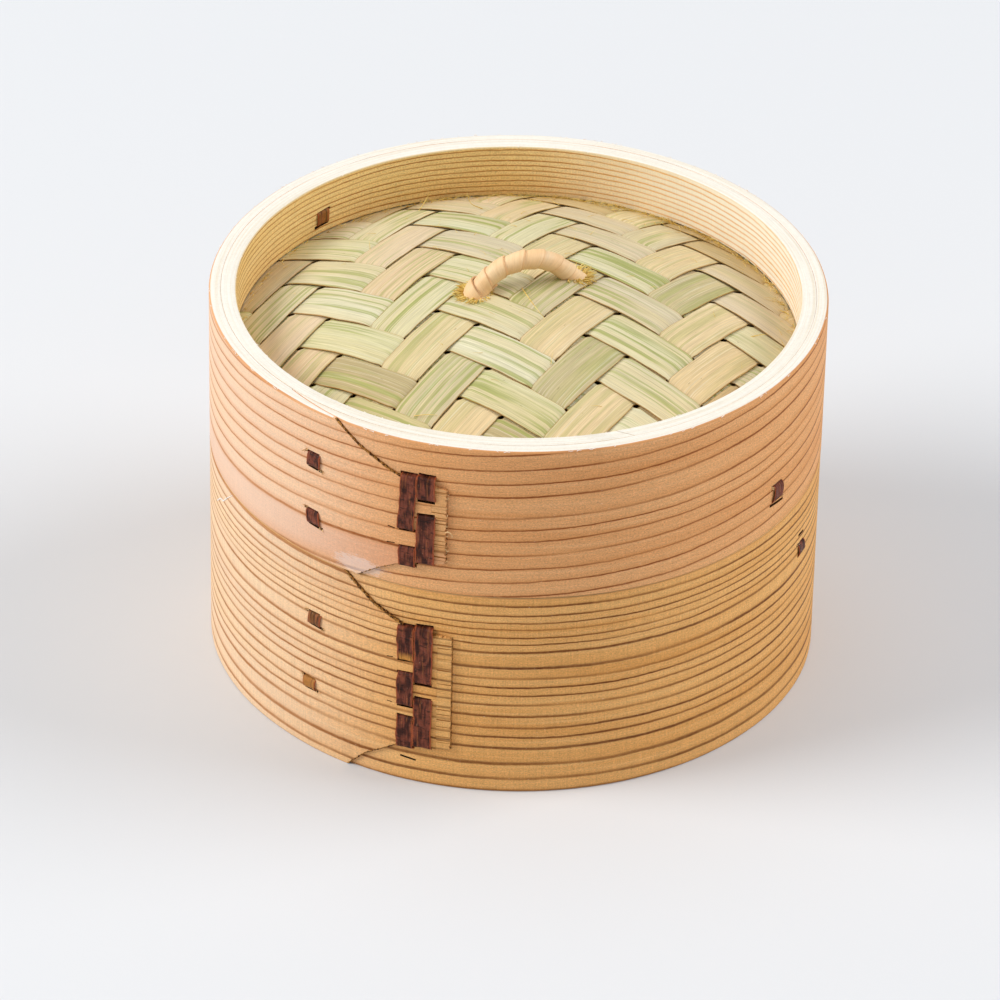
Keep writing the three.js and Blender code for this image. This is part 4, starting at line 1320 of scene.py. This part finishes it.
# Fuzz where the strips are cut off, against the hoop.
FUZZ_REACH = 81.7
for i in range(520):
    a = (rng.normal(62, 26) if i % 3 else rng.uniform(0, 360)) * DEG
    r = 81.6 - abs(rng.normal(0, 0.9))
    start = np.array([r * math.cos(a), r * math.sin(a)])
    heading = a + rng.uniform(1.1, 5.2)
    step = np.array([math.cos(heading), math.sin(heading)]) * rng.uniform(0.8, 3.2)
    path = [on_mat(*start, rng.uniform(0.2, 0.9))]
    for share in (0.5, 1.0):
        here = start + step * share
        here = here * min(1.0, FUZZ_REACH / math.hypot(*here))
        path.append(on_mat(*here, rng.uniform(0.5, 1.7)))
    loose.append((path, rng.uniform(0.06, 0.13)))
hairs("lid_mat_loose_fibres", "lid", "bamboo_weft", straw, loose)

# Splinters at the ends of the ties' slots.
splinters = {"lid": [], "basket": []}
for half in (LID, BASKET):
    for at, top, bottom, *_ in half.ties.values():
        r = wall_r(at, half) + 0.05
        for z, way in [(top, 1)] * 9 + [(bottom, -1)] * 9:
            a = at - way * rng.uniform(1.35, 2.35)
            z = half.base + z + way * rng.uniform(-0.5, 0.7)
            swing, rise = rng.uniform(-0.7, 0.7), rng.uniform(-0.7, 0.7)
            path = [polar(r - 0.3, a, z), polar(r + 0.12, a + swing / 2, z + rise / 2),
                    polar(r + rng.uniform(0.1, 0.5), a + swing, z + rise)]
            splinters[half.body].append((path, rng.uniform(0.08, 0.17)))

# One curled splinter and the frayed edge at the tip of the lid's lap.
CURL = [(1.1, -102.3, 21.2), (1.7, -101.5, 21.9), (2.1, -100.9, 21.2), (1.9, -100.9, 20.2),
        (1.3, -101.3, 19.8)]
splinters["lid"].append(([polar(OUTER_R + out, a, JOINT_Z + z) for out, a, z in CURL], 0.16))
for _ in range(26):
    z = JOINT_Z + rng.uniform(11, 34.5)
    a = LID.tip + rng.uniform(-0.25, 0.1)
    path = [polar(OUTER_R + 0.7, a, z), polar(OUTER_R + 0.9, a + 0.25, z + rng.uniform(-0.2, 0.3)),
            polar(OUTER_R + rng.uniform(0.5, 1.2), a + rng.uniform(0.3, 0.75), z + rng.uniform(-0.7, 0.9))]
    splinters["lid"].append((path, rng.uniform(0.09, 0.18)))

rim_fuzz = []
for _ in range(150):
    a = rng.uniform(-180, 180)
    r = (OUTER_R - 0.12 if rng.uniform() < 0.6 else INNER_R + 0.15) + rng.uniform(-0.1, 0.1)
    swing = rng.uniform(0.4, 1.5) / OUTER_R / DEG * rng.choice([-1, 1])
    path = [polar(r, a, RIM_Z - 0.3), polar(r, a + swing / 2, RIM_Z - rng.uniform(-0.05, 0.2)),
            polar(r + rng.uniform(-0.3, 0.3), a + swing, RIM_Z + rng.uniform(-0.25, 0.35))]
    rim_fuzz.append((path, rng.uniform(0.05, 0.11)))
hairs("lid_rim_fuzz", "lid", "cedar_lid", chalk, rim_fuzz)
for body, paths in splinters.items():
    hairs(body + "_splinters", body, "cedar_" + body, splinter, paths)


SCRATCH = [(-164, 0.0), (-161.8, 0.5), (-160.2, -0.6), (-157.8, 0.2), (-155, 0.8)]
hairs("basket_scratch", "basket", "cedar_basket", chalk,
      [([polar(OUTER_R + 0.12, a, scratch_z(a) + up) for a, up in SCRATCH], 0.24)])

# Camera, floor and light -------------------------------------------------------------------------

CAMERA_AT = (-0.00414, -1.62255, 1.08441)
CAMERA_TILT = 0.570999
CAMERA_ROLL = 0.0213543
CAMERA_LENS = 234
camera_data = bpy.data.cameras.new("camera")
camera_data.lens = CAMERA_LENS
camera_data.sensor_width = 36
camera_data.clip_end = 20
camera = add_object("camera", camera_data)
back = Vector((0, -math.cos(CAMERA_TILT), math.sin(CAMERA_TILT)))
right = Vector((1, 0, 0))
above = Vector((0, math.sin(CAMERA_TILT), math.cos(CAMERA_TILT)))
axis_x = right * math.cos(CAMERA_ROLL) + above * math.sin(CAMERA_ROLL)
axis_y = above * math.cos(CAMERA_ROLL) - right * math.sin(CAMERA_ROLL)
turn = Matrix((axis_x, axis_y, back)).transposed().to_4x4()
camera.matrix_world = Matrix.Translation(CAMERA_AT) @ turn
scene.camera = camera

floor_mesh = bpy.data.meshes.new("studio_floor")
floor_mesh.from_pydata([(-6, -6, 0), (6, -6, 0), (6, 6, 0), (-6, 6, 0)], [], [(0, 1, 2, 3)])
floor = add_object("studio_floor", floor_mesh)
paper = Shader("studio_paper")
floor_mesh.materials.append(paper.material)
paper.out.inputs["Base Color"].default_value = srgb(224, 226, 229)
paper.out.inputs["Roughness"].default_value = 0.85
paper.out.inputs["Specular IOR Level"].default_value = 0.1


def area_light(name, at, towards, size, power, colour):
    data = bpy.data.lights.new(name, "AREA")
    data.shape = "DISK"
    data.size = size
    data.energy = power
    data.color = colour
    light = add_object(name, data)
    light.location = at
    light.rotation_mode = "QUATERNION"
    light.rotation_quaternion = (Vector(towards) - Vector(at)).to_track_quat("-Z", "Y")


area_light("key_light", (-3.2, -0.5, 2.4), (0, 0, 0.06), 2.2, 118, (1.0, 0.985, 0.96))
area_light("right_light", (3.0, 0.3, 2.7), (0.1, 0, 0.03), 2.6, 86, (1.0, 0.99, 0.98))
area_light("top_light", (-0.4, 1.4, 3.8), (0, 0, 0.08), 2.4, 12, (0.98, 0.99, 1.0))
world = bpy.data.worlds.new("studio")
scene.world = world
world.use_nodes = True
world.node_tree.nodes["Background"].inputs["Color"].default_value = (0.93, 0.96, 1.0, 1.0)
world.node_tree.nodes["Background"].inputs["Strength"].default_value = 0.41
scene.view_settings.view_transform = "Standard"
